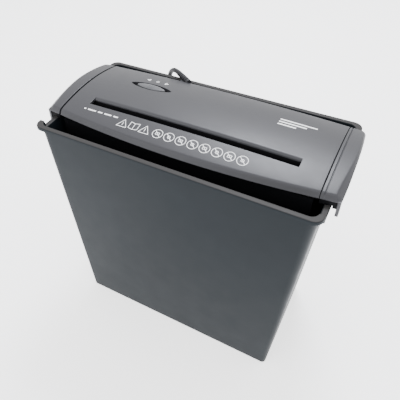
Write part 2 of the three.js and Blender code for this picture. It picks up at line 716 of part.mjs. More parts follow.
const rodEnd = frame.x + frame.thick + 0.9;
const gearCover = { x: 126, thick: 1.5, frontY: 4, rearY: 46, bottomZ: 212, topZ: 256 };
const motorScrew = { offset: 11, shankR: 1.3, headR: 2.4, headThick: 1.6, shankFrom: 100 };
const axleHoles = [secondAxis, firstAxis].map((axis) => circle(axle.r + 0.1, axis.y, axis.z, 16));
const motorHole = circle(3, motorAxis.y, motorAxis.z, 12);
const motorScrewZ = [-1, 1].map((side) => motorAxis.z + side * motorScrew.offset);
const motorScrewHoles = motorScrewZ.map((z) => circle(motorScrew.shankR + 0.2, motorAxis.y, z, 12));
add('left_side_plate', sidePlate(-1, frame.leftRearY, []), steel);
add('right_side_plate', sidePlate(
  1, frame.rightRearY, [...axleHoles, motorHole, ...motorScrewHoles],
), steel);
for (const [word, rod] of Object.entries(tieRods)) {
  add(`${word}_tie_rod`, rodX(frame.rodR, -rodEnd, rodEnd, rod.y, rod.z, 12), steel);
}
for (const [side, word] of [[-1, 'left'], [1, 'right']]) {
  add(`${word}_front_bush`, cutterBush(side, frontAxis), bronze);
  add(`${word}_rear_bush`, cutterBush(side, rearAxis), bronze);
}

add('front_cutter', bladeShaft(frontAxis, 0, gears.sync.from - 0.6, 112.8), bladeSteel);
add('rear_cutter', bladeShaft(rearAxis, 1, gears.sync.from - 0.6, gears.main.to + 0.3), bladeSteel);
add('front_stripper', stripperComb(frontAxis, 1, -1), blackPlastic);
add('rear_stripper', stripperComb(rearAxis, 0, 1), blackPlastic);
add('front_feed_guide', guideSheet(guide.frontTopY, guide.frontFootY), steel);
add('rear_feed_guide', rearGuide(), steel);

const shaftBore = cut.shaftR + 0.1;
add('rear_sync_gear', spurGear(gears.sync, rearAxis, Math.PI, shaftBore), steel);
add('front_sync_gear', spurGear(gears.sync, frontAxis, gapTowards(gears.sync, Math.PI), shaftBore), steel);
add('main_drive_gear', spurGear(gears.main, rearAxis, toSecond, shaftBore), steel);
add('second_reduction_gear', join(
  spurGear(gears.secondPinion, secondAxis, gapTowards(gears.secondPinion, toSecond), axle.boreR),
  spurGear(gears.secondWheel, secondAxis, toFirst, axle.boreR),
), gearPlastic);
add('first_reduction_gear', join(
  spurGear(gears.firstPinion, firstAxis, gapTowards(gears.firstPinion, toFirst), axle.boreR),
  spurGear(gears.firstWheel, firstAxis, toMotor, axle.boreR),
), gearPlastic);
add('second_gear_axle', rodX(axle.r, frame.x, gearCover.x + 1.4, secondAxis.y, secondAxis.z), steel);
add('first_gear_axle', rodX(axle.r, frame.x, gearCover.x + 1.4, firstAxis.y, firstAxis.z), steel);
add('gear_cover_plate', prismX([
  [gearCover.frontY, gearCover.bottomZ], [gearCover.rearY, gearCover.bottomZ],
  [gearCover.rearY, gearCover.topZ], [gearCover.frontY, gearCover.topZ],
], gearCover.x, gearCover.x + gearCover.thick, axleHoles), steel);

add('motor_can', prismX(
  circle(motor.r, motorAxis.y, motorAxis.z, 20), motor.from, motor.to,
  [circle(motor.boreR, motorAxis.y, motorAxis.z, 12), ...motorScrewHoles],
), steel);
add('motor_shaft', rodX(
  motor.shaftR, motor.from + 4, gears.motorPinion.to + 0.3, motorAxis.y, motorAxis.z, 12,
), steel);
add('motor_pinion', spurGear(
  gears.motorPinion, motorAxis, gapTowards(gears.motorPinion, toMotor), motor.shaftR + 0.1,
), bronze);
motorScrewZ.forEach((z, i) => {
  const seatX = frame.x + frame.thick + 0.2;
  const shank = rodX(motorScrew.shankR, motorScrew.shankFrom, seatX + 1, motorAxis.y, z, 12);
  const top = rodX(motorScrew.headR, seatX, seatX + motorScrew.headThick, motorAxis.y, z, 12);
  add(`motor_screw_${i + 1}`, join(shank, top), steel);
});
const cutout = { x0: 70, x1: 82, halfY: 5, topZ: 250 };
add('thermal_cutout', box(
  cutout.x0, cutout.x1, motorAxis.y - cutout.halfY, motorAxis.y + cutout.halfY,
  motorAxis.z + motor.r + 0.4, cutout.topZ,
), blackPlastic);

const boardTop = board.z + board.thick;
const onBoard = boardTop + GAP;
add('circuit_board', box(board.x0, board.x1, board.y0, board.y1, board.z, boardTop), boardGreen);
add('terminal_block', box(
  board.x1 - 12, board.x1 - 2, board.y0 + 2, board.y0 + 16, onBoard, onBoard + 10,
), gearPlastic);
add('suppression_capacitor', box(
  board.x0 + 3, board.x0 + 21, board.y0 + 6, board.y0 + 22, onBoard, onBoard + 13,
), amber);
add('slide_switch', switchBody(), blackPlastic);
add('switch_knob', switchKnob(), headPlastic);
add('sensor_lever', sensorLever(), blackPlastic);
add('sensor_pin', rodX(
  sensorHub.pinR, -sensorHub.pinHalf, sensorHub.pinHalf, sensorAxis.y, sensorAxis.z, 12,
), steel);
const microswitch = { halfX: 8, frontY: -6, rearY: 3, bottomZ: 251.5, topZ: 257.5, plungerTopZ: 258.4 };
add('sensor_microswitch', join(
  box(
    -microswitch.halfX, microswitch.halfX, microswitch.frontY, microswitch.rearY,
    microswitch.bottomZ, microswitch.topZ,
  ),
  box(-1, 1, microswitch.frontY, microswitch.frontY + 1.5, microswitch.topZ - 0.5, microswitch.plungerTopZ),
), blackPlastic);

add('strain_relief', strainRelief(), cordBlack);
add('power_lead', leadTube(leadRoute, 40), cordBlack);
add('lead_coil', coilRing(), cordBlack);
add('lead_tail', leadTube(tailRoute, 4), cordBlack);
add('coil_tie', coilTie(), blackPlastic);
add('plug_body', plugBody(), cordBlack);
[-1, 1].forEach((side, i) => {
  const pin = rodX(2, plug.to + GAP, plug.to + 19, plug.y + side * plug.pinOffset, plug.z, 12);
  add(`plug_pin_${i + 1}`, pin, steel);
});

export default object;
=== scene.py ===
"""A strip-cut paper shredder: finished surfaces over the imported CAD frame.

Metres, +Z up, the front faces -Y. Shells, cord and small trim are rebuilt finely where the CAD is faceted,
and every other CAD piece keeps its shape and gets its finish here.
"""

import json
from math import atan2, ceil, cos, pi, radians, sin, sqrt

import bmesh
import bpy
from mathutils import Matrix, Vector


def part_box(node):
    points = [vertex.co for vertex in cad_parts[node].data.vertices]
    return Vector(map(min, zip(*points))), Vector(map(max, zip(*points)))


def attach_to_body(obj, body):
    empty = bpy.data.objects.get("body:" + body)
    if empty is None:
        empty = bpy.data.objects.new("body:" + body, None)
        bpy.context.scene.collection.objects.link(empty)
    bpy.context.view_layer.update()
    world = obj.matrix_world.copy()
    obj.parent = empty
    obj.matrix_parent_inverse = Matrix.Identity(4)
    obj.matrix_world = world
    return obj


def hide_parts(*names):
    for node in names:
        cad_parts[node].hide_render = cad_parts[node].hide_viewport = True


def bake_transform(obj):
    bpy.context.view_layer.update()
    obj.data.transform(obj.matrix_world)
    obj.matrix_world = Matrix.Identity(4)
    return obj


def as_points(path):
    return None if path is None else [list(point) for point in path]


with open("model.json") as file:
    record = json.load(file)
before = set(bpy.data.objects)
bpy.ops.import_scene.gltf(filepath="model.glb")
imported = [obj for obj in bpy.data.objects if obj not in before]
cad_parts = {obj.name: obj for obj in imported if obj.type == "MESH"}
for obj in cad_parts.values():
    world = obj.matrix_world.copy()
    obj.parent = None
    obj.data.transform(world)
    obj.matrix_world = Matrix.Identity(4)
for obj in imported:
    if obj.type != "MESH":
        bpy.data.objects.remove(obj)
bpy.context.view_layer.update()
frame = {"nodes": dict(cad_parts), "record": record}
MM = 0.001

# ---- camera

IMAGE_WIDTH = 400
SENSOR = 36.0
FOCAL_PIXELS = 469.4
CAMERA_PLACE = Vector((0.1681, -0.3388, 0.5424))
CAMERA_AZIMUTH = 0.5364
CAMERA_ELEVATION = 0.7313
CAMERA_ROLL = -0.0438
FRAMING_SHIFT = (0.0780, -0.0646)


def add_camera():
    data = bpy.data.cameras.new("camera")
    data.sensor_width = SENSOR
    data.lens = FOCAL_PIXELS / IMAGE_WIDTH * SENSOR
    data.shift_x, data.shift_y = FRAMING_SHIFT
    data.clip_start = 0.01
    data.clip_end = 50
    back = Vector((
        sin(CAMERA_AZIMUTH) * cos(CAMERA_ELEVATION),
        -cos(CAMERA_AZIMUTH) * cos(CAMERA_ELEVATION),
        sin(CAMERA_ELEVATION),
    ))
    level = (-back).cross(Vector((0, 0, 1))).normalized()
    upright = level.cross(-back).normalized()
    right = level * cos(CAMERA_ROLL) + upright * sin(CAMERA_ROLL)
    up = upright * cos(CAMERA_ROLL) - level * sin(CAMERA_ROLL)
    turn = Matrix((right, up, back)).transposed().to_4x4()
    camera = bpy.data.objects.new("camera", data)
    camera.matrix_world = Matrix.Translation(CAMERA_PLACE) @ turn
    bpy.context.scene.collection.objects.link(camera)
    bpy.context.scene.camera = camera


add_camera()

# ---- mesh helpers

SHARP = radians(38)


def new_piece(name, vertices, faces, material, smooth=True):
    mesh = bpy.data.meshes.new(name)
    mesh.from_pydata([tuple(v) for v in vertices], [], faces)
    mesh.validate()
    bm = bmesh.new()
    bm.from_mesh(mesh)
    bmesh.ops.remove_doubles(bm, verts=bm.verts, dist=0.002 * MM)
    bmesh.ops.recalc_face_normals(bm, faces=bm.faces)
    bm.to_mesh(mesh)
    bm.free()
    obj = bpy.data.objects.new(name, mesh)
    bpy.context.scene.collection.objects.link(obj)
    obj.data.materials.append(material)
    if smooth:
        shade(obj)
    return obj


def shade(obj, angle=SHARP):
    obj.data.shade_smooth()
    obj.data.set_sharp_from_angle(angle=angle)
    weighted = obj.modifiers.new("weighted", "WEIGHTED_NORMAL")
    weighted.keep_sharp = True


def ring_faces(first, second, count, closed=True):
    """Quads between two rings of vertex numbers that start at first and second."""
    steps = count if closed else count - 1
    faces = []
    for i in range(steps):
        j = (i + 1) % count
        faces.append((first + i, first + j, second + j, second + i))
    return faces


def stacked_faces(rings, count):
    """Quads up a stack of rings of count vertices each, and a flat face at both ends."""
    last = (rings - 1) * count
    faces = [tuple(range(count)), tuple(range(last, last + count))]
    for ring in range(rings - 1):
        faces += ring_faces(ring * count, (ring + 1) * count, count)
    return faces


def between(low, high, share):
    return low + (high - low) * share


def smoothly(share):
    share = min(1.0, max(0.0, share))
    return share * share * (3 - 2 * share)


def spaced(stops, step):
    """The stops with even points between them, no further apart than step."""
    values = []
    for low, high in zip(stops, stops[1:]):
        count = max(1, ceil((high - low) / step - 1e-6))
        values += [between(low, high, i / count) for i in range(count)]
    return values + [stops[-1]]


def lathe(name, profile, place, axis, material, sides=32):
    """A turned solid: (radius, distance along the axis) pairs, closed at both ends."""
    turn = Vector((0, 0, 1)).rotation_difference(Vector(axis)).to_matrix()
    vertices = []
    for radius, along in profile:
        for i in range(sides):
            angle = 2 * pi * i / sides
            point = Vector((radius * cos(angle), radius * sin(angle), along))
            vertices.append(Vector(place) + turn @ point)
    return new_piece(name, vertices, stacked_faces(len(profile), sides), material)


def sweep(name, points, radius, material, sides=16):
    """A round tube along points, with its frame carried along so that it never twists."""
    line = [Vector(p) for p in points]
    tangents = []
    for i in range(len(line)):
        tangents.append((line[min(i + 1, len(line) - 1)] - line[max(i - 1, 0)]).normalized())
    normal = tangents[0].orthogonal().normalized()
    vertices = []
    for here, tangent in zip(line, tangents):
        normal = (normal - tangent * normal.dot(tangent)).normalized()
        side = tangent.cross(normal)
        for i in range(sides):
            angle = 2 * pi * i / sides
            vertices.append(here + (normal * cos(angle) + side * sin(angle)) * radius)
    return new_piece(name, vertices, stacked_faces(len(line), sides), material)


def curve_through(points, step):
    """Points about a step apart on a smooth curve through the given ones."""
    line = [Vector(p) for p in points]
    ends = [line[0] * 2 - line[1]] + line + [line[-1] * 2 - line[-2]]
    result = []
    for i in range(1, len(ends) - 2):
        before, start, end, after = ends[i - 1:i + 3]
        count = max(1, ceil((end - start).length / step))
        for k in range(count):
            t = k / count
            result.append(0.5 * (
                2 * start + (end - before) * t + (2 * before - 5 * start + 4 * end - after) * t ** 2
                + (3 * start - before - 3 * end + after) * t ** 3
            ))
    result.append(line[-1])
    return result


# ---- materials


def node_material(name):
    material = bpy.data.materials.new(name)
    material.use_nodes = True
    nodes = material.node_tree.nodes
    links = material.node_tree.links
    return material, nodes, links, nodes["Principled BSDF"]


def add_noise(nodes, links, where, scale, detail=3.0, roughness=0.55):
    noise = nodes.new("ShaderNodeTexNoise")
    noise.inputs["Scale"].default_value = scale
    noise.inputs["Detail"].default_value = detail
    noise.inputs["Roughness"].default_value = roughness
    links.new(where, noise.inputs["Vector"])
    return noise.outputs["Fac"]


def add_ramp(nodes, links, source, low, high, low_at=0.3, high_at=0.7):
    """Maps a 0 to 1 value to a colour or grey between low and high."""
    ramp = nodes.new("ShaderNodeValToRGB")
    for element, value, position in zip(ramp.color_ramp.elements, (low, high), (low_at, high_at)):
        element.position = position
        element.color = (*value, 1) if isinstance(value, tuple) else (value, value, value, 1)
    links.new(source, ramp.inputs["Fac"])
    return ramp.outputs["Color"]


def scaled(colour, factor):
    return tuple(min(1.0, c * factor) for c in colour)


def add_bump(nodes, links, height, distance, strength=1.0, below=None):
    bump = nodes.new("ShaderNodeBump")
    bump.inputs["Distance"].default_value = distance
    bump.inputs["Strength"].default_value = strength
    links.new(height, bump.inputs["Height"])
    if below is not None:
        links.new(below, bump.inputs["Normal"])
    return bump.outputs["Normal"]


def edge_wear_and_highlight(nodes, links, colour, rubbed_and_lit, start, amount):
    """Rubbed edges and painted edge highlights: the paler colour shows where the surface is most convex,
    standing for both wear and light caught on the edges.
    """
    geometry = nodes.new("ShaderNodeNewGeometry")
    mask = add_ramp(nodes, links, geometry.outputs["Pointiness"], 0.0, amount, start, start + 0.06)
    mix = nodes.new("ShaderNodeMix")
    mix.data_type = "RGBA"
    links.new(mask, mix.inputs["Factor"])
    links.new(colour, mix.inputs["A"])
    mix.inputs["B"].default_value = (*rubbed_and_lit, 1)
    return mix.outputs["Result"]


def moulded_plastic(name, colour, rough, grain=0.00045, depth=0.00002, mottle=0.10, specular=0.5):
    """Injection-moulded plastic: spark-eroded grain, faint flow mottling, and convex edges painted paler for
    rubbed wear and a painted edge highlight.
    """
    material, nodes, links, shader = node_material(name)
    where = nodes.new("ShaderNodeTexCoord").outputs["Object"]
    broad = add_noise(nodes, links, where, 14.0, 4.0)
    tint = add_ramp(nodes, links, broad, scaled(colour, 1 - mottle), scaled(colour, 1 + mottle))
    # Convex edges painted paler: part rubbed wear, part painted highlight of light caught on the edges.
    tint = edge_wear_and_highlight(nodes, links, tint, scaled(colour, 1.9), 0.53, 0.5)
    links.new(tint, shader.inputs["Base Color"])
    fine = add_noise(nodes, links, where, 1 / grain, 2.0, 0.6)
    handled = add_noise(nodes, links, where, 45.0, 5.0)
    links.new(add_ramp(nodes, links, handled, rough - 0.03, rough + 0.04), shader.inputs["Roughness"])
    links.new(add_bump(nodes, links, fine, depth), shader.inputs["Normal"])
    shader.inputs["Specular IOR Level"].default_value = specular
    return material


def paint_light_on_flats(material, colour, above):
    """Painted top light: flats that face up, higher than a given height, are painted paler than the walls, as
    if lit from above.
    """
    nodes = material.node_tree.nodes
    links = material.node_tree.links
    shader = nodes["Principled BSDF"]
    split_normal = nodes.new("ShaderNodeSeparateXYZ")
    links.new(nodes.new("ShaderNodeNewGeometry").outputs["Normal"], split_normal.inputs["Vector"])
    split_place = nodes.new("ShaderNodeSeparateXYZ")
    links.new(nodes.new("ShaderNodeTexCoord").outputs["Object"], split_place.inputs["Vector"])
    facing_up = add_ramp(nodes, links, split_normal.outputs["Z"], 0.0, 1.0, 0.5, 0.9)
    high_up = add_ramp(nodes, links, split_place.outputs["Z"], 0.0, 1.0, above, above + 0.002)
    both = nodes.new("ShaderNodeMath")
    both.operation = "MULTIPLY"
    links.new(facing_up, both.inputs[0])
    links.new(high_up, both.inputs[1])
    mix = nodes.new("ShaderNodeMix")
    mix.data_type = "RGBA"
    links.new(both.outputs["Value"], mix.inputs["Factor"])
    links.new(shader.inputs["Base Color"].links[0].from_socket, mix.inputs["A"])
    mix.inputs["B"].default_value = (*colour, 1)
    links.new(mix.outputs["Result"], shader.inputs["Base Color"])


def turned_metal(name, colour, rough, streak=(900.0, 60.0, 60.0), depth=0.000012, tarnish=0.12):
    """Bare metal with fine lines from rolling or turning, and a slight tarnish."""
    material, nodes, links, shader = node_material(name)
    where = nodes.new("ShaderNodeTexCoord").outputs["Object"]
    stretch = nodes.new("ShaderNodeMapping")
    stretch.inputs["Scale"].default_value = streak
    links.new(where, stretch.inputs["Vector"])
    lines = add_noise(nodes, links, stretch.outputs["Vector"], 3.0, 4.0)
    cloud = add_noise(nodes, links, where, 60.0, 4.0)
    links.new(add_ramp(nodes, links, cloud, scaled(colour, 1 - tarnish), colour), shader.inputs["Base Color"])
    links.new(add_ramp(nodes, links, lines, rough - 0.08, rough + 0.12), shader.inputs["Roughness"])
    links.new(add_bump(nodes, links, lines, depth), shader.inputs["Normal"])
    shader.inputs["Metallic"].default_value = 1.0
    return material


basket_plastic = moulded_plastic(
    "basket_plastic", (0.0085, 0.0114, 0.0141), 0.42,
    grain=0.0006, depth=0.000012, mottle=0.035, specular=0.08,
)
# Painted top light: the basket's rim flats, which face up, are painted paler as if lit from above.
paint_light_on_flats(basket_plastic, (0.033, 0.032, 0.0318), 0.25)
head_plastic = moulded_plastic(
    "head_plastic", (0.0265, 0.0265, 0.0308), 0.40,
    grain=0.0005, depth=0.00003, mottle=0.05, specular=0.4,
)
knob_plastic = moulded_plastic("knob_plastic", (0.085, 0.086, 0.092), 0.4, specular=0.3)
# Near-black plastic for the black parts, also used as painted shade in the slot's funnel and under the end
# caps' bevels.
dark_plastic_and_shade = moulded_plastic("dark_plastic_and_shade", (0.0035, 0.0036, 0.0042), 0.6, specular=0.04)
gear_plastic = moulded_plastic("gear_plastic", (0.72, 0.69, 0.60), 0.35, depth=0.000006, mottle=0.05)
board_green = moulded_plastic("board_green", (0.02, 0.14, 0.06), 0.3, depth=0.000005)
amber_plastic = moulded_plastic("amber_plastic", (0.55, 0.27, 0.05), 0.3, depth=0.000004)
cord_rubber = moulded_plastic(
    "cord_rubber", (0.010, 0.010, 0.012), 0.48, grain=0.0008, depth=0.00001, specular=0.3,
)
bright_steel = turned_metal("bright_steel", (0.62, 0.62, 0.64), 0.30)
blade_steel = turned_metal("blade_steel", (0.34, 0.34, 0.35), 0.28)
bronze = turned_metal("bronze", (0.58, 0.40, 0.20), 0.38)
white_ink = moulded_plastic("white_ink", (0.78, 0.78, 0.78), 0.5, depth=0.000002, mottle=0.03)

slot_finish = {
    "basket_plastic": basket_plastic,
    "head_plastic": head_plastic,
    "black_plastic": dark_plastic_and_shade,
    "gear_plastic": gear_plastic,
    "bright_steel": bright_steel,
    "blade_steel": blade_steel,
    "bronze": bronze,
    "board": board_green,
    "capacitor_plastic": amber_plastic,
    "cord_sheath": cord_rubber,
}


def finish_cad_nodes():
    """Every CAD node gets the finish of its material slot, for those that stay in view."""
    for row in frame["record"]["subparts"]:
        mesh = frame["nodes"][row["node"]].data
        mesh.materials.clear()
        mesh.materials.append(slot_finish[row["material_slot"]])


finish_cad_nodes()

# ---- the power lead

LEAD_D = 0.0052
RELIEF_START = (-0.0430, 0.0657, 0.2706)
RELIEF_END = (-0.0601, 0.0759, 0.2724)
LEAD_ROUTE = [
    RELIEF_END, (-0.0635, 0.0779, 0.2724), (-0.0683, 0.0808, 0.2709),
    (-0.0729, 0.0835, 0.2672), (-0.0760, 0.0854, 0.2618), (-0.0774, 0.0863, 0.2550),
    (-0.0776, 0.0871, 0.2420), (-0.0772, 0.0886, 0.2160), (-0.0765, 0.0904, 0.1860),
    (-0.0756, 0.0920, 0.1550), (-0.0746, 0.0933, 0.1240), (-0.0736, 0.0944, 0.0960),
    (-0.0729, 0.0952, 0.0700), (-0.0727, 0.0966, 0.0460), (-0.0727, 0.1003, 0.0270),
    (-0.0727, 0.1069, 0.0128), (-0.0727, 0.1164, 0.0052), (-0.0727, 0.1290, 0.0035),
]
COIL_CENTRE = Vector((-0.0385, 0.150, 0))
COIL_TURNS = 5.25
FLOOR_RADII = (0.0342, 0.0290, 0.0238)
UPPER_RADII = (0.0264, 0.0316)
FLOOR_Z = 0.0035
UPPER_Z = 0.0080
STEPS_PER_TURN = 36


def eased(turn, start, end, low, high):
    return between(low, high, smoothly((turn - start) / (end - start)))


def coil_radius(turn):
    """Three turns outside in on the floor, then two back out in the grooves between them."""
    if turn < 1:
        return eased(turn, 0.75, 1, FLOOR_RADII[0], FLOOR_RADII[1])
    if turn < 2:
        return eased(turn, 1.75, 2, FLOOR_RADII[1], FLOOR_RADII[2])
    if turn < 3:
        return eased(turn, 2.5, 2.75, FLOOR_RADII[2], UPPER_RADII[0])
    return eased(turn, 3.75, 4, UPPER_RADII[0], UPPER_RADII[1])


def coil_height(turn):
    """The upper layer humps a little where it passes over the floor layer's steps inward."""
    height = eased(turn, 2.45, 2.75, FLOOR_Z, UPPER_Z)
    if turn > 2.75:
        height += 0.0007 * sin(pi * min(1, max(0, (turn % 1 - 0.75) / 0.25)))
    return height


def coil_points():
    count = round(COIL_TURNS * STEPS_PER_TURN)
    points = []
    for i in range(count + 1):
        turn = COIL_TURNS * i / count
        angle = pi - 2 * pi * turn
        radius = coil_radius(turn)
        points.append(COIL_CENTRE + Vector((radius * cos(angle), radius * sin(angle), coil_height(turn))))
    return points


def add_lead():
    plug_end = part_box("plug_body")[0].x + 0.002
    coil = coil_points()
    out_y = coil[-1].y
    tail = [(-0.030, out_y, 0.0080), (-0.014, out_y, 0.0080), (-0.007, out_y, 0.0076), (0, out_y, 0.0072),
            (plug_end, out_y, 0.0070)]
    along_relief = (Vector(RELIEF_END) - Vector(RELIEF_START)).normalized()
    first = Vector(RELIEF_END) - along_relief * 0.004
    down = curve_through([first, *LEAD_ROUTE, coil[0] - Vector((0, 0.006, 0))], 0.004)
    path = down + coil + curve_through(tail, 0.004)
    lead = sweep("lead", path, LEAD_D / 2, cord_rubber, sides=14)
    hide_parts("power_lead", "lead_coil", "lead_tail")
    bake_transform(lead)
    return lead, path


def add_strain_relief():
    """The sleeve: a collar, then ribs that taper down to the lead."""
    start = Vector(RELIEF_START)
    axis = Vector(RELIEF_END) - start
    reach = axis.length
    axis.normalize()
    ribs = 6
    profile = [(0.0033, -0.003), (0.0034, 0.0005)]
    for i in range(ribs):
        low = between(0.0015, reach - 0.001, i / ribs)
        high = between(0.0015, reach - 0.001, (i + 0.62) / ribs)
        outer = between(0.0034, 0.0029, i / ribs)
        profile += [(0.00275, low), (outer, low + 0.0002), (outer, high - 0.0002), (0.00275, high)]
    profile += [(0.00285, reach - 0.0006), (0.0027, reach - 0.0001)]
    sleeve = lathe("strain_relief_sleeve", profile, start, axis, cord_rubber, sides=24)
    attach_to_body(sleeve, "head")
    return sleeve


lead, lead_path = add_lead()
relief_sleeve = add_strain_relief()

# ---- the basket

bin_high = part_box("bin")[1]
RIM_HALF_X, RIM_HALF_Y, RIM_Z = bin_high
WALL = 2.0 * MM
OVERHANG = 3.6 * MM
FOOT_HALF_X = RIM_HALF_X - 23 * MM
FOOT_HALF_Y = RIM_HALF_Y - 12 * MM
RIM_CORNER = 9 * MM
FOOT_CORNER = 4.5 * MM
BASKET_FLOOR = 2.5 * MM
RIM_THICK = 2.2 * MM
LIP_DROP = 4.0 * MM
LIP_THICK = 1.2 * MM
SIDE_DROP = 8.0 * MM
SIDE_HALF_Y = 62 * MM


def rounded_rectangle(half_x, half_y, corner, steps=8, along_x=14, along_y=8):
    """Points anticlockwise round a rounded rectangle, always equally many."""
    points = []
    for quarter, (sx, sy) in enumerate([(1, 1), (-1, 1), (-1, -1), (1, -1)]):
        for i in range(steps + 1):
            angle = (quarter + i / steps) * pi / 2
            centre_x, centre_y = sx * (half_x - corner), sy * (half_y - corner)
            points.append((centre_x + corner * cos(angle), centre_y + corner * sin(angle)))
        straight = along_x if quarter % 2 == 0 else along_y
        x, y = points[-1]
        run_x = (-2 * (half_x - corner), 0, 2 * (half_x - corner), 0)[quarter]
        run_y = (0, -2 * (half_y - corner), 0, 2 * (half_y - corner))[quarter]
        points += [(x + run_x * i / straight, y + run_y * i / straight) for i in range(1, straight)]
    return points


def basket_profile():
    """(half x, half y, corner, z) rings: out along the bottom, up the wall, over the rim and down inside."""
    rings = []

    def wall_ring(z, inset):
        share = z / RIM_Z
        half_x = between(FOOT_HALF_X, RIM_HALF_X - OVERHANG, share) - inset
        half_y = between(FOOT_HALF_Y, RIM_HALF_Y - OVERHANG, share) - inset
        corner = between(FOOT_CORNER, RIM_CORNER, share)
        rings.append((half_x, half_y, max(corner - inset, 1.5 * MM), z))

    def rim_ring(inset, z):
        rings.append((RIM_HALF_X - inset, RIM_HALF_Y - inset, RIM_CORNER - inset, z))

    quarter = [i / 4 * pi / 2 for i in range(5)]
    foot = 2.0 * MM
    for angle in quarter:
        wall_ring(foot * (1 - cos(angle)), foot * (1 - sin(angle)))
    for z in (30 * MM, 100 * MM, 180 * MM, 250 * MM, 262 * MM, RIM_Z - RIM_THICK):
        wall_ring(z, 0)
    rim_ring(LIP_THICK, RIM_Z - RIM_THICK)
    rim_ring(LIP_THICK, RIM_Z - LIP_DROP + 0.2 * MM)
    rim_ring(LIP_THICK - 0.3 * MM, RIM_Z - LIP_DROP)
    rim_ring(0.3 * MM, RIM_Z - LIP_DROP)
    rim_ring(0, RIM_Z - LIP_DROP + 0.3 * MM)
    outer = 1.1 * MM
    for angle in quarter:
        rim_ring(outer * (1 - cos(angle)), RIM_Z - outer * (1 - sin(angle)))
    inner = 1.2 * MM
    for angle in quarter:
        wall_ring(RIM_Z - inner * (1 - cos(angle)), WALL - inner * (1 - sin(angle)))
    for z in (262 * MM, 250 * MM, 180 * MM, 100 * MM, 30 * MM):
        wall_ring(z, WALL)
    for angle in quarter:
        wall_ring(BASKET_FLOOR + foot * (1 - sin(angle)), WALL + foot * (1 - cos(angle)))
    return rings


def lowered(point):
    """The height of a point: the side rims stand lower than the front and rear, without a lip."""
    if abs(point.x) < RIM_HALF_X - 12 * MM or point.z < 250 * MM:
        return point.z
    side = 1 - smoothly((abs(point.y) - (SIDE_HALF_Y - 0.5 * MM)) / (1.2 * MM))
    near_top = min(1, (point.z - 250 * MM) / (12 * MM))
    on_rim = abs(point.x) > RIM_HALF_X - OVERHANG + 0.6 * MM
    lip = max(0, RIM_Z - RIM_THICK - point.z) if on_rim else 0
    return point.z + side * (lip - SIDE_DROP * near_top)


def add_basket():
    rings = [(rounded_rectangle(half_x, half_y, corner), z) for half_x, half_y, corner, z in basket_profile()]
    count = len(rings[0][0])
    vertices = [(x, y, z) for outline, z in rings for x, y in outline]
    faces = stacked_faces(len(rings), count)
    basket = new_piece("basket_shell", vertices, faces, basket_plastic, smooth=False)
    bm = bmesh.new()
    bm.from_mesh(basket.data)
    for offset in (-0.5, -0.2, 0.1, 0.4, 0.7):
        for side in (-1, 1):
            bmesh.ops.bisect_plane(
                bm, geom=bm.verts[:] + bm.edges[:] + bm.faces[:], dist=1e-7,
                plane_co=(0, side * (SIDE_HALF_Y + offset * MM), 0), plane_no=(0, 1, 0),
            )
    for vertex in bm.verts:
        vertex.co.z = lowered(vertex.co)
    bm.to_mesh(basket.data)
    bm.free()
    shade(basket)
    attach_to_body(basket, "basket")
    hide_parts("bin")


add_basket()

# ---- the head's shell

cover_low, cover_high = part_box("top_cover")
cap_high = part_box("right_end_cap")[1]
SEAM_X = cover_high.x
SIDE_X = cap_high.x
CAP_END = 150.5 * MM
FRONT_Y = cover_low.y
REAR_Y = cover_high.y
LOWER_Z = cover_low.z
CREST_Y = 8 * MM
CREST_Z = cover_high.z
CROWN_RADIUS = 214 * MM
END_SAG = 2.5 * MM
FRONT_BOW = 11 * MM
REAR_BOW = 2.5 * MM
BEVEL_IN = 3.2 * MM
BEVEL_FOOT_Z = 266 * MM
FOOT_INSET = 4.0 * MM
SHELL = 2.2 * MM

SLOT_HALF_X = 111 * MM
SLOT_FRONT_Y = -24 * MM
THROAT_Y = -19 * MM
LIP_Y = -11.5 * MM
LIP_FOOT_Y = -15.2 * MM
LIP_DROP = 3.2 * MM
COLLAR_Z = 264 * MM
COLLAR_WALL = 2.5 * MM

RECESS = Vector((-68 * MM, 29.3 * MM))
RECESS_HALF = Vector((25 * MM, 7 * MM))
RECESS_FLOOR_Z = 272.6 * MM
BLOCK_HALF = Vector((28 * MM, 10 * MM))


def crown(x, y):
    return CREST_Z - (y - CREST_Y) ** 2 / (2 * CROWN_RADIUS) - END_SAG * (x / CAP_END) ** 2


def front_edge(x):
    return FRONT_Y + FRONT_BOW * (x / CAP_END) ** 2


def rear_edge(x):
    return REAR_Y - REAR_BOW * (x / CAP_END) ** 2


def rounded_corner(start, corner, end, steps=4):
    """Points on a smooth turn from start to end, pulled towards the corner."""
    points = []
    for i in range(steps + 1):
        t = i / steps
        points.append(tuple(
            (1 - t) ** 2 * s + 2 * t * (1 - t) * c + t ** 2 * e for s, c, e in zip(start, corner, end)
        ))
    return points


def front_profile(x, top, bottom_z):
    """(y, z) from the bottom edge at the front up the bevel to where the crown starts."""
    base = front_edge(x)
    brow_y = base + BEVEL_IN
    brow_z = top(x, brow_y)
    slope = Vector((brow_y - base, brow_z - BEVEL_FOOT_Z))
    turn = 1.8 * MM
    before = Vector((brow_y, brow_z)) - slope.normalized() * min(turn, slope.length * 0.7)
    after_y = brow_y + turn
    return [
        (base + FOOT_INSET, bottom_z), (base + FOOT_INSET, BEVEL_FOOT_Z - 0.9 * MM),
        (base + FOOT_INSET - 0.3 * MM, BEVEL_FOOT_Z - 0.6 * MM), (base + 0.45 * MM, BEVEL_FOOT_Z - 0.45 * MM),
        (base + 0.1 * MM, BEVEL_FOOT_Z - 0.25 * MM), (base + 0.05 * MM, BEVEL_FOOT_Z + 0.1 * MM),
    ] + rounded_corner(before, (brow_y, brow_z), (after_y, top(x, after_y)))


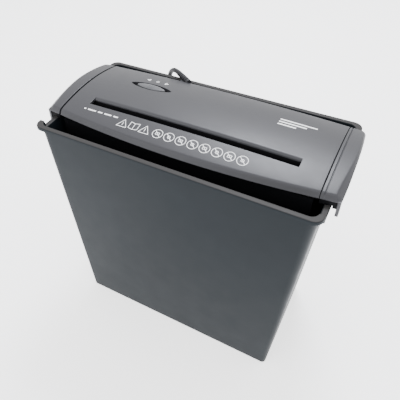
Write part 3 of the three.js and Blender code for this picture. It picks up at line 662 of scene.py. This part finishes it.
def rear_profile(x, rear, top, bottom_z):
    turn = 1.5 * MM
    corner_z = top(x, rear)
    return rounded_corner((rear - turn, top(x, rear - turn)), (rear, corner_z), (rear, corner_z - turn)) + [
        (rear, bottom_z + 0.4 * MM), (rear - 0.2 * MM, bottom_z),
    ]


FIRST_ROW = FRONT_Y + BEVEL_IN + 1.8 * MM
LAST_ROW = REAR_Y - 1.5 * MM
SLOT_MARGIN = 3 * MM


def cover_rows():
    block_front = RECESS.y - BLOCK_HALF.y
    block_rear = RECESS.y + BLOCK_HALF.y
    before = spaced([
        FIRST_ROW, SLOT_FRONT_Y - SLOT_MARGIN, SLOT_FRONT_Y, LIP_Y, LIP_Y + SLOT_MARGIN, block_front,
    ], 5 * MM)
    block = spaced([block_front, block_rear], 2 * MM)
    return before[:-1] + block[:-1] + spaced([block_rear, LAST_ROW], 5 * MM)


def cover_columns():
    block_left = RECESS.x - BLOCK_HALF.x
    block_right = RECESS.x + BLOCK_HALF.x
    ends = [0, 0.07 * MM, 0.25 * MM, 0.5 * MM]
    left_end = [-SEAM_X + end for end in ends]
    right_end = [SEAM_X - end for end in reversed(ends)]
    left = spaced([left_end[-1], -SLOT_HALF_X - SLOT_MARGIN, -SLOT_HALF_X, block_left], 5 * MM)
    right = spaced([block_right, SLOT_HALF_X, SLOT_HALF_X + SLOT_MARGIN, right_end[0]], 5 * MM)
    block = spaced([block_left, block_right], 2 * MM)
    return left_end[:-1] + left[:-1] + block[:-1] + right + right_end[1:]


def bowed_row(row, x):
    """Rows in front of the slot and behind the switch follow the bowed edges."""
    still_front = SLOT_FRONT_Y - SLOT_MARGIN
    still_rear = RECESS.y + BLOCK_HALF.y
    if row < still_front:
        share = (still_front - row) / (still_front - FIRST_ROW)
        return between(still_front, front_edge(x) + BEVEL_IN + 1.8 * MM, share)
    if row > still_rear:
        share = (row - still_rear) / (LAST_ROW - still_rear)
        return between(still_rear, rear_edge(x) - 1.5 * MM, share)
    return row


def seam_drop(x):
    """How far a seam's rounded edge has fallen near the end of the cover."""
    radius = 0.5 * MM
    past = max(0.0, abs(x) - (SEAM_X - radius))
    return radius - sqrt(max(0.0, radius ** 2 - past ** 2))


def lens_point(angle, inset=0.0):
    """A pointed oval round the switch recess."""
    half_x = RECESS_HALF.x - inset
    half_y = RECESS_HALF.y - inset
    rise = abs(sin(angle)) ** 1.45
    return RECESS.x + half_x * cos(angle), RECESS.y + (half_y * rise if sin(angle) > 0 else -half_y * rise)


class Loops:
    """Adds rings of points to a vertex list and faces between each ring and the one before."""

    def __init__(self, vertices, faces, first):
        self.vertices = vertices
        self.faces = faces
        self.last = first

    def to_indices(self, ring):
        count = len(ring)
        for i in range(count):
            j = (i + 1) % count
            self.faces.append((self.last[i], self.last[j], ring[j], ring[i]))
        self.last = ring

    def to(self, points):
        start = len(self.vertices)
        self.vertices += points
        self.to_indices(list(range(start, start + len(points))))


def slot_rings(border):
    """The slot's sides: a small round in front, a broad rounded lip behind, then the funnel, coloured
    near-black as painted shade.
    """
    edge = 0.4 * MM
    shares = [(x / SLOT_HALF_X, (y - SLOT_FRONT_Y) / (LIP_Y - SLOT_FRONT_Y)) for x, y in border]

    def ring(front_y, rear_y, half_x, front_z, rear_z):
        points = []
        for across, back in shares:
            x = across * half_x
            points.append((x, between(front_y, rear_y, back), between(front_z(x), rear_z(x), back)))
        return points

    def below_front(drop):
        return lambda x: crown(x, SLOT_FRONT_Y) - drop

    def below_lip(drop):
        return lambda x: crown(x, LIP_Y) - drop

    def level(z):
        return lambda x: z

    rings = []
    steps = 12
    for j in range(1, steps + 1):
        lip = j / steps * pi / 2
        turn = min(1, j / 3) * pi / 2
        front_drop = edge * (1 - cos(turn)) + max(0, j - 3) / (steps - 3) * (LIP_DROP - edge)
        rings.append(ring(
            SLOT_FRONT_Y + edge * sin(turn), between(LIP_Y, LIP_FOOT_Y, sin(lip)),
            SLOT_HALF_X - edge * sin(turn), below_front(front_drop), below_lip(LIP_DROP * (1 - cos(lip))),
        ))
    inside = SLOT_HALF_X - edge
    rings.append(ring(SLOT_FRONT_Y + edge, THROAT_Y, inside, level(COLLAR_Z), level(COLLAR_Z)))
    rings.append(ring(
        SLOT_FRONT_Y - COLLAR_WALL, LIP_Y + COLLAR_WALL, SLOT_HALF_X + COLLAR_WALL,
        level(COLLAR_Z), level(COLLAR_Z),
    ))
    return rings


def recess_rings(border):
    """From the crown round the switch down the pointed oval well, and through the knob stem's slot."""
    angles = [atan2((y - RECESS.y) / BLOCK_HALF.y, (x - RECESS.x) / BLOCK_HALF.x) for x, y in border]
    rings = []
    for share in (0.3, 0.6, 0.85, 1.0):
        ring = []
        for (x, y), angle in zip(border, angles):
            lens_x, lens_y = lens_point(angle)
            here_x, here_y = between(x, lens_x, share), between(y, lens_y, share)
            ring.append((here_x, here_y, crown(here_x, here_y)))
        rings.append(ring)
    edge = 0.5 * MM
    for turn in (pi / 6, pi / 3, pi / 2):
        inset = edge * sin(turn)
        points = [lens_point(angle, inset) for angle in angles]
        rings.append([(x, y, crown(x, y) - edge * (1 - cos(turn))) for x, y in points])
    for inset, rise in ((0.75 * MM, 0.6 * MM), (0.95 * MM, 0.15 * MM), (1.4 * MM, 0)):
        rings.append([(*lens_point(angle, inset), RECESS_FLOOR_Z + rise) for angle in angles])
    stem_half = Vector((9 * MM, 1.5 * MM))
    for drop in (0, 2 * MM):
        rings.append([(
            RECESS.x + stem_half.x * max(-1, min(1, 1.2 * cos(angle))),
            RECESS.y + stem_half.y * max(-1, min(1, 1.2 * sin(angle))),
            RECESS_FLOOR_Z - drop,
        ) for angle in angles])
    rings.append([(*lens_point(angle, -2 * MM), RECESS_FLOOR_Z - 2 * MM) for angle in angles])
    return rings


def add_top_cover():
    columns = cover_columns()
    rows = cover_rows()
    vertices = []
    heights = 0
    for x in columns:
        outline = front_profile(x, crown, LOWER_Z)
        first_row = len(outline) - 1
        outline += [(bowed_row(row, x), crown(x, bowed_row(row, x))) for row in rows[1:-1]]
        outline += rear_profile(x, rear_edge(x), crown, LOWER_Z)
        heights = len(outline)
        low_y = front_edge(x) + FOOT_INSET + SHELL
        high_y = rear_edge(x) - SHELL
        for i, (y, z) in enumerate(outline):
            inner_y = min(max(y, low_y), high_y)
            inner_z = LOWER_Z if i in (0, heights - 1) else min(z, crown(x, inner_y) - SHELL)
            if first_row < i < first_row + len(rows) - 1:
                inner_z = crown(x, inner_y) - SHELL
            inner_x = x
            in_slot = abs(x) < SLOT_HALF_X + 1e-6 and SLOT_FRONT_Y - 1e-6 < y < LIP_Y + 1e-6 and i > first_row
            if in_slot and abs(abs(x) - SLOT_HALF_X) < 1e-6:
                inner_x = x + COLLAR_WALL * (1 if x > 0 else -1)
            if in_slot and abs(y - SLOT_FRONT_Y) < 1e-6:
                inner_y -= COLLAR_WALL
            if in_slot and abs(y - LIP_Y) < 1e-6:
                inner_y += COLLAR_WALL
            outer = Vector((x, y, z))
            inner = Vector((inner_x, inner_y, inner_z))
            if seam_drop(x) > 0:
                outer += (Vector((x, inner_y, inner_z)) - outer).normalized() * seam_drop(x)
            vertices += [outer, inner]

    def number(column, height, side):
        return (column * heights + height) * 2 + side

    def nearest(values, wanted):
        return min(range(len(values)), key=lambda i: abs(values[i] - wanted))

    def row_number(wanted):
        return first_row + nearest(rows, wanted)

    openings = []
    for low_x, high_x, low_y, high_y in (
        (-SLOT_HALF_X, SLOT_HALF_X, SLOT_FRONT_Y, LIP_Y),
        (RECESS.x - BLOCK_HALF.x, RECESS.x + BLOCK_HALF.x, RECESS.y - BLOCK_HALF.y, RECESS.y + BLOCK_HALF.y),
    ):
        across = (nearest(columns, low_x), nearest(columns, high_x))
        openings.append((*across, row_number(low_y), row_number(high_y)))

    def is_open(column, height):
        return any(c0 <= column < c1 and i0 <= height < i1 for c0, c1, i0, i1 in openings)

    faces = []
    for column in range(len(columns) - 1):
        for height in range(heights - 1):
            if not is_open(column, height):
                for side in (0, 1):
                    faces.append((
                        number(column, height, side), number(column + 1, height, side),
                        number(column + 1, height + 1, side), number(column, height + 1, side),
                    ))
        for height in (0, heights - 1):
            faces.append((
                number(column, height, 0), number(column + 1, height, 0),
                number(column + 1, height, 1), number(column, height, 1),
            ))
    for column in (0, len(columns) - 1):
        for height in range(heights - 1):
            faces.append((
                number(column, height, 0), number(column, height + 1, 0),
                number(column, height + 1, 1), number(column, height, 1),
            ))
    for (c0, c1, i0, i1), make_rings in zip(openings, (slot_rings, recess_rings)):
        loop = [(c, i0) for c in range(c0, c1)] + [(c1, i) for i in range(i0, i1)]
        loop += [(c, i1) for c in range(c1, c0, -1)] + [(c0, i) for i in range(i1, i0, -1)]
        border = [(columns[c], rows[i - first_row]) for c, i in loop]
        loops = Loops(vertices, faces, [number(c, i, 0) for c, i in loop])
        for ring in make_rings(border):
            loops.to(ring)
        loops.to_indices([number(c, i, 1) for c, i in loop])
    cover = new_piece("top_cover_shell", vertices, faces, head_plastic)
    cover.data.materials.append(dark_plastic_and_shade)
    # Painted shade: the funnel faces below the lip get the near-black plastic, standing for the shadow inside
    # the slot.
    for polygon in cover.data.polygons:
        place = polygon.center
        over_slot = abs(place.x) < SLOT_HALF_X and SLOT_FRONT_Y < place.y < LIP_Y
        if over_slot and place.z < crown(*place.xy) - LIP_DROP:
            polygon.material_index = 1
    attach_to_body(cover, "head")
    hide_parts("top_cover")


add_top_cover()

# ---- the end caps

SIDE_BOW = SIDE_X - CAP_END
SIDE_BOW_Y = -8 * MM
SIDE_RIM_Z = RIM_Z - SIDE_DROP
SKIRT_INNER_X = 146.8 * MM
SKIRT_OUTER_X = 150 * MM
SKIRT_Z = 257.6 * MM
SKIRT_INSET = 0.8 * MM
TAB_Y = -39.4 * MM
TAB_HALF = 2.6 * MM
TAB_THICK = 2.4 * MM


def swollen(x, y):
    """The cap's end swells outwards between the front and the rear."""
    share = min(1, max(0, (x - SEAM_X - 0.5 * MM) / (CAP_END - SEAM_X - 0.5 * MM)))
    along = (y - SIDE_BOW_Y) / (rear_edge(CAP_END) - SIDE_BOW_Y)
    return x + share * SIDE_BOW * max(0, 1 - along ** 2)


def cap_chamfer(y):
    """(width, drop) of the side's bevel, which is broad at the front and fades to the rear."""
    fade = smoothly((y - front_edge(CAP_END)) / (62 * MM))
    return between(4.6, 1.4, fade) * MM, between(4.4, 1.8, fade) * MM


def cap_top(x, y, gap, grooved):
    """The crown with the seam's rounded edge, the parting groove and the side's bevel."""
    across = abs(x)
    width, drop = cap_chamfer(y)
    past = across - (CAP_END - width)
    soft = 0.45 * MM
    fall = (past + sqrt(past ** 2 + soft ** 2)) / 2 * drop / width
    edge = 0.5 * MM
    before_seam = max(0.0, SEAM_X + gap + edge - across)
    fall += edge - sqrt(max(0.0, edge ** 2 - before_seam ** 2))
    if grooved:
        groove = 1 - min(1, abs(across - (SEAM_X + 3.2 * MM)) / (0.55 * MM))
        fall += 0.9 * MM * smoothly(groove * 1.6)
    return max(crown(x, y) - fall, BEVEL_FOOT_Z + 0.9 * MM)


def cap_stations(gap):
    start = SEAM_X + gap
    groove = SEAM_X + 3.2 * MM
    fine = [start, start + 0.07 * MM, start + 0.25 * MM, start + 0.5 * MM, groove - 0.8 * MM]
    fine += [groove + offset * MM for offset in (-0.55, -0.4, -0.27, -0.13, 0, 0.13, 0.27, 0.4, 0.55)]
    side = spaced([groove + 0.8 * MM, 143.5 * MM], 2 * MM)[:-1] + spaced([143.5 * MM, CAP_END], 0.5 * MM)
    return fine + side


def rounded_box(low, high, edge):
    """Vertices and faces of a box with small chamfers on every edge, from eight corners of three points."""
    bm = bmesh.new()
    bmesh.ops.create_cube(bm, size=1.0)
    for vertex in bm.verts:
        vertex.co = Vector(between(l, h, c + 0.5) for l, h, c in zip(low, high, vertex.co))
    bmesh.ops.bevel(bm, geom=bm.edges[:], offset=edge, segments=2, affect="EDGES", profile=0.5)
    bm.verts.index_update()
    vertices = [v.co.copy() for v in bm.verts]
    faces = [tuple(v.index for v in f.verts) for f in bm.faces]
    bm.free()
    return vertices, faces


def add_end_cap(side, word, gap, grooved):
    def top(x, y):
        return cap_top(x, y, gap, grooved)

    bottom_z = BEVEL_FOOT_Z - 0.5 * MM
    inner_end = SEAM_X + gap
    rows = spaced([FIRST_ROW, LAST_ROW], 3.5 * MM)
    vertices = []
    stations = cap_stations(gap)
    count = 0
    for x in stations:
        rear = rear_edge(x) - max(0.0, x - (CAP_END - 4 * MM))
        outline = front_profile(x, top, bottom_z)[1:]
        start_y, end_y = outline[-1][0], rear - 1.5 * MM
        for row in rows[1:-1]:
            y = between(start_y, end_y, (row - FIRST_ROW) / (LAST_ROW - FIRST_ROW))
            outline.append((y, top(x, y)))
        outline += rear_profile(x, rear, top, bottom_z)
        count = len(outline)
        vertices += [(side * swollen(x, y), y, z) for y, z in outline]
    faces = stacked_faces(len(stations), count)

    def attach(extra_vertices, extra_faces):
        start = len(vertices)
        vertices.extend(extra_vertices)
        faces.extend(tuple(start + i for i in face) for face in extra_faces)

    def attach_upright(outline, low_z):
        """A wall of the given outline from low_z up to the foot of the bevel."""
        corners = [(x, y, z) for z in (low_z, BEVEL_FOOT_Z) for x, y in outline]
        attach(corners, stacked_faces(2, len(outline)))

    # Painted shade: the walls under the bevel, the brow and the strip under the seam get the near-black
    # plastic, standing for shadow.
    painted_shade_from = len(faces)
    for inner_x, bottom, inset in ((inner_end, LOWER_Z, FOOT_INSET), (SKIRT_INNER_X, SKIRT_Z, SKIRT_INSET)):
        outline = [(x, front_edge(x) + inset) for x in spaced([inner_x, SKIRT_OUTER_X], 3 * MM)[:-1]]
        depths = spaced([front_edge(SKIRT_OUTER_X) + inset, rear_edge(SKIRT_OUTER_X) - SKIRT_INSET], 8 * MM)
        outline += [(swollen(SKIRT_OUTER_X, y), y) for y in depths]
        outline += [(-x, rear_edge(x) - SKIRT_INSET) for x in spaced([-SKIRT_OUTER_X, -inner_x], 3 * MM)[1:]]
        attach_upright([(side * x, y) for x, y in outline], bottom)
    across = spaced([inner_end, SKIRT_INNER_X + 1 * MM], 3 * MM)
    brow = [(side * x, front_edge(x) + SKIRT_INSET) for x in across]
    brow += [(side * x, front_edge(x) + FOOT_INSET) for x in reversed(across)]
    attach_upright(brow, SIDE_RIM_Z + 0.3 * MM)
    # A dark strip under the seam gap, painted shade so that the gap reads as a black line.
    tongue = ((SEAM_X - 1 * MM, 2.5 * MM), (inner_end + 0.5 * MM, 2.5 * MM),
              (inner_end + 0.5 * MM, 3.3 * MM), (SEAM_X - 1 * MM, 3.3 * MM))
    depths = spaced([front_edge(SEAM_X) + FOOT_INSET + SHELL, rear_edge(SEAM_X) - SHELL], 6 * MM)
    corners = [(side * x, y, crown(x, y) - drop) for y in depths for x, drop in tongue]
    attach(corners, stacked_faces(len(depths), len(tongue)))
    painted_shade_to = len(faces)
    edges = sorted((side * swollen(CAP_END - TAB_THICK, TAB_Y), side * swollen(CAP_END, TAB_Y)))
    tab_low = (edges[0], TAB_Y - TAB_HALF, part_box("right_end_cap")[0].z)
    tab_high = (edges[1], TAB_Y + TAB_HALF, BEVEL_FOOT_Z + 0.6 * MM)
    attach(*rounded_box(tab_low, tab_high, 0.35 * MM))
    cap = new_piece(f"{word}_cap_shell", vertices, faces, head_plastic)
    cap.data.materials.append(dark_plastic_and_shade)
    for polygon in cap.data.polygons[painted_shade_from:painted_shade_to]:
        polygon.material_index = 1
    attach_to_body(cap, "head")
    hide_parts(f"{word}_end_cap")


add_end_cap(1, "right", gap=0.6 * MM, grooved=True)
add_end_cap(-1, "left", gap=1.8 * MM, grooved=False)

# ---- switch knob


def add_knob():
    knob_low, knob_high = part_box("switch_knob")
    centre = Vector(((knob_low.x + knob_high.x) / 2, (knob_low.y + knob_high.y) / 2))
    half = Vector(((knob_high.x - knob_low.x) / 2, (knob_high.y - knob_low.y) / 2))
    foot_z = RECESS_FLOOR_Z + 0.3 * MM
    sides = 48
    levels = [(1.0, foot_z)]
    for scale, drop in ((1.0, 1.6), (0.97, 1.1), (0.90, 0.7), (0.72, 0.35), (0.45, 0.1), (0.18, 0)):
        levels.append((scale, knob_high.z - drop * MM))
    vertices = []
    for scale, z in levels:
        for i in range(sides):
            angle = 2 * pi * i / sides
            rise = abs(sin(angle)) ** 1.35 * (1 if sin(angle) > 0 else -1)
            vertices.append((centre.x + half.x * scale * cos(angle), centre.y + half.y * scale * rise, z))
    faces = stacked_faces(len(levels), sides)
    boxes = []
    for offset in (-2.4, 0, 2.4):
        low = (centre.x + offset * MM - 0.4 * MM, centre.y - 2.6 * MM, knob_high.z - 1 * MM)
        high = (centre.x + offset * MM + 0.4 * MM, centre.y + 2.6 * MM, knob_high.z + 0.35 * MM)
        boxes.append(rounded_box(low, high, 0.25 * MM))
    stem_low = (centre.x - 1.5 * MM, centre.y - 1.1 * MM, knob_low.z)
    stem_high = (centre.x + 1.5 * MM, centre.y + 1.1 * MM, foot_z + 1 * MM)
    boxes.append(rounded_box(stem_low, stem_high, 0.2 * MM))
    for extra_vertices, extra_faces in boxes:
        start = len(vertices)
        vertices += extra_vertices
        faces += [tuple(start + i for i in face) for face in extra_faces]
    knob = new_piece("mode_knob", vertices, faces, knob_plastic)
    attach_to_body(knob, "switch_knob")
    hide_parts("switch_knob")


add_knob()

# ---- printed marks

INK = 0.05 * MM


class Print:
    """Flat white marks laid on the crown, gathered into one mesh."""

    def __init__(self):
        self.vertices = []
        self.faces = []

    def strip(self, inner, outer, closed=True):
        """A band between two equally long lines of (x, y)."""
        start = len(self.vertices)
        count = len(inner)
        for line in (inner, outer):
            for x, y in line:
                self.vertices.append((x, y, crown(x, y) + INK))
        self.faces += ring_faces(start, start + count, count, closed)

    def stroke(self, a, b, width):
        a, b = Vector(a), Vector(b)
        count = max(1, ceil((b - a).length / (2 * MM)))
        side = (b - a).normalized().orthogonal() * width / 2
        line = [a.lerp(b, i / count) for i in range(count + 1)]
        self.strip([p - side for p in line], [p + side for p in line], closed=False)

    def ring(self, centre, radius, width, sides=36):
        spokes = [Vector((cos(2 * pi * i / sides), sin(2 * pi * i / sides))) for i in range(sides)]
        centre = Vector(centre)
        self.strip([centre + s * (radius - width) for s in spokes], [centre + s * radius for s in spokes])

    def outline(self, corners, width):
        for a, b in zip(corners, corners[1:] + corners[:1]):
            self.stroke(a, b, width)


def add_marks():
    """A generic row of symbols in front of the slot, a switch scale and a mark of three bars."""
    marks = Print()
    line = 0.56 * MM
    row_y = -36.2 * MM
    symbol = 5.4 * MM
    for number in range(8):
        centre = Vector((-22.3 * MM + number * 12.35 * MM, row_y))
        marks.ring(centre, symbol, line)
        reach = symbol * 0.62
        marks.stroke(centre + Vector((-reach, reach)), centre + Vector((reach, -reach)), line)
        if number % 2:
            marks.ring(centre, 1.7 * MM, line)
        else:
            half = Vector((1.9 * MM, 1.3 * MM))
            marks.outline([centre + Vector((sx * half.x, sy * half.y)) for sx, sy in
                           ((-1, -1), (1, -1), (1, 1), (-1, 1))], line)
    for x in (-61.5 * MM, -36.3 * MM):
        corners = [(x - 5.6 * MM, row_y - 4.2 * MM), (x + 5.6 * MM, row_y - 4.2 * MM), (x, row_y + 5.2 * MM)]
        marks.outline([Vector(c) for c in corners], line)
        marks.stroke((x, row_y - 2.2 * MM), (x, row_y + 1.8 * MM), line)
    for lean in (-1, 1):
        x = -49 * MM
        edge_x = x + lean * 5 * MM
        page = [(x, row_y - 4 * MM), (edge_x, row_y - 3 * MM)]
        page += [(edge_x, row_y + 4.6 * MM), (x, row_y + 3.6 * MM)]
        marks.outline([Vector(c) for c in page], line)
    dash = -112 * MM
    dash_y = -31.5 * MM
    for length in (2.2, 10, 5.4, 8.6, 5.3):
        marks.stroke((dash, dash_y), (dash + length * MM, dash_y), 1.5 * MM)
        dash += (length + 2.5) * MM
    for number, length in enumerate((36, 27, 18)):
        y = 35 * MM - number * 4.6 * MM
        marks.stroke((74 * MM, y), (74 * MM + length * MM, y), 1.9 * MM)
    scale_y = 44 * MM
    marks.ring((RECESS.x, scale_y), 1.7 * MM, 0.6 * MM, sides=24)
    for lean in (-1, 1):
        tip = RECESS.x + lean * 13 * MM
        marks.outline([Vector((tip, scale_y)), Vector((tip - lean * 3.4 * MM, scale_y + 1.9 * MM)),
                       Vector((tip - lean * 3.4 * MM, scale_y - 1.9 * MM))], 0.8 * MM)
    printed = new_piece("printed_marks", marks.vertices, marks.faces, white_ink, smooth=False)
    thick = printed.modifiers.new("ink", "SOLIDIFY")
    thick.thickness = 2 * INK
    thick.offset = -1
    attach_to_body(printed, "head")


add_marks()

# ---- tie and plug


def add_coil_tie():
    """A flat strap wrapped snugly round the bundle of turns, on the coil's +X side."""
    clearance = LEAD_D / 2 + 0.25 * MM
    thick = 0.7 * MM
    half_width = 3 * MM
    corners = [
        (FLOOR_RADII[2], FLOOR_Z, pi, 1.5 * pi), (FLOOR_RADII[0], FLOOR_Z, 1.5 * pi, 2 * pi),
        (UPPER_RADII[1], UPPER_Z, 0.1 * pi, 0.5 * pi), (UPPER_RADII[0], UPPER_Z, 0.5 * pi, 0.9 * pi),
    ]
    loop = []
    for radius, height, start, end in corners:
        for i in range(6):
            angle = between(start, end, i / 5)
            loop.append((Vector((radius, height)), Vector((cos(angle), sin(angle)))))
    vertices = []
    for reach in (clearance, clearance + thick):
        for edge in (-half_width, half_width):
            for centre, outward in loop:
                place = centre + outward * reach
                vertices.append((COIL_CENTRE.x + place.x, COIL_CENTRE.y + edge, max(place.y, 0.00005)))
    count = len(loop)
    near_in, far_in, near_out, far_out = (i * count for i in range(4))
    faces = ring_faces(near_in, far_in, count) + ring_faces(near_out, far_out, count)
    faces += ring_faces(near_in, near_out, count) + ring_faces(far_in, far_out, count)
    strap = new_piece("coil_strap", vertices, faces, dark_plastic_and_shade)
    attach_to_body(strap, "basket")
    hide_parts("coil_tie")
    return strap


def add_plug():
    low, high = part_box("plug_body")
    centre = Vector((0, (low.y + high.y) / 2, (low.z + high.z) / 2))
    length = high.x - low.x
    half_y = (high.y - low.y) / 2
    half_z = (high.z - low.z) / 2
    rings = []
    neck_share = 0.32
    ribs = 5
    for i in range(ribs):
        for step, swell in ((0.0, 0), (0.15, 0.55 * MM), (0.6, 0.55 * MM), (0.75, 0)):
            share = (i + step) / ribs * neck_share
            radius = between(3.0, 4.0, share / neck_share) * MM + swell
            rings.append((share, radius, radius, radius))
    for share, wide, tall in ((0.33, 0.36, 0.64), (0.42, 0.50, 0.76), (0.50, 0.72, 0.90), (0.57, 0.92, 0.98),
                              (0.66, 1.0, 1.0), (0.97, 0.97, 0.96), (0.99, 0.955, 0.93), (1.0, 0.93, 0.89)):
        rings.append((share, half_y * wide, half_z * tall, min(half_y * wide, half_z * tall) * 0.92))
    vertices = []
    count = 0
    for share, wide, tall, corner in rings:
        outline = rounded_rectangle(wide, tall, corner, steps=6, along_x=3, along_y=3)
        count = len(outline)
        vertices += [(low.x + share * length, centre.y + u, centre.z + v) for u, v in outline]
    faces = stacked_faces(len(rings), count)
    body = new_piece("plug_moulding", vertices, faces, cord_rubber)
    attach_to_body(body, "basket")
    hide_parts("plug_body")
    pieces = [body]
    for number in (1, 2):
        pin_low, pin_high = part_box(f"plug_pin_{number}")
        place = Vector((pin_low.x - 0.4 * MM, (pin_low.y + pin_high.y) / 2, (pin_low.z + pin_high.z) / 2))
        reach = pin_high.x - place.x
        sleeve = [(1.9 * MM, 0), (1.9 * MM, reach * 0.5), (1.75 * MM, reach * 0.52)]
        tip = [(2.0 * MM, reach * 0.52), (2.0 * MM, reach - 2 * MM), (1.85 * MM, reach - 1.1 * MM),
               (1.4 * MM, reach - 0.4 * MM), (0.7 * MM, reach)]
        for profile, word, material, slot_name in (
            (sleeve, "sleeve", dark_plastic_and_shade, "black_plastic"), (tip, "tip", bright_steel, "bright_steel"),
        ):
            part = lathe(f"plug_pin_{number}_{word}", profile, place, (1, 0, 0), material, sides=24)
            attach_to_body(part, "basket")
            if word == "tip":
                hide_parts(f"plug_pin_{number}")
            pieces.append(part)
    return pieces


strap = add_coil_tie()
plug_parts = add_plug()

# ---- softened edges on the CAD pieces in view

for node in (
    "head_base", "left_side_plate", "right_side_plate", "gear_cover_plate", "circuit_board", "terminal_block",
    "suppression_capacitor", "slide_switch", "sensor_microswitch", "thermal_cutout", "strain_relief",
):
    piece = frame["nodes"][node]
    edge = piece.modifiers.new("edges", "BEVEL")
    edge.width = 0.25 * MM
    edge.segments = 2
    edge.limit_method = "ANGLE"
    edge.angle_limit = radians(50)

# ---- floor and light

FLOOR_GLOW = 1.5


def add_floor():
    material, nodes, links, shader = node_material("floor")
    where = nodes.new("ShaderNodeTexCoord").outputs["Object"]
    cloud = add_noise(nodes, links, where, 3.0, 2.0)
    tint = add_ramp(nodes, links, cloud, (0.90, 0.90, 0.905), (0.93, 0.93, 0.935))
    links.new(tint, shader.inputs["Base Color"])
    shader.inputs["Roughness"].default_value = 0.9
    shader.inputs["Specular IOR Level"].default_value = 0.1
    shader.inputs["Emission Color"].default_value = (1.0, 1.0, 1.0, 1)
    shader.inputs["Emission Strength"].default_value = FLOOR_GLOW
    size = 4.0
    corners = [(-size, -size, 0), (size, -size, 0), (size, size, 0), (-size, size, 0)]
    floor = new_piece("floor", corners, [(0, 1, 2, 3)], material, smooth=False)
    floor.location.z = -0.0003


def add_area_light(name, place, aim, size, power):
    data = bpy.data.lights.new(name, "AREA")
    data.shape = "SQUARE"
    data.size = size
    data.energy = power
    data.color = (0.90, 0.93, 1.0)
    light = bpy.data.objects.new(name, data)
    light.location = place
    light.rotation_euler = (Vector(aim) - Vector(place)).to_track_quat("-Z", "Y").to_euler()
    bpy.context.scene.collection.objects.link(light)


def add_world(strength):
    world = bpy.data.worlds.new("studio")
    world.use_nodes = True
    background = world.node_tree.nodes["Background"]
    background.inputs["Color"].default_value = (1.0, 1.0, 1.0, 1)
    background.inputs["Strength"].default_value = strength
    bpy.context.scene.world = world


add_floor()
add_area_light("overhead", (-0.12, 0.72, 1.48), (0.08, -0.02, 0.25), 0.42, 27)
add_area_light("front", (-0.9, -1.4, 1.0), (0, 0, 0.15), 1.2, 9)
add_world(2.0)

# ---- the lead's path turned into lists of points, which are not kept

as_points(lead_path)
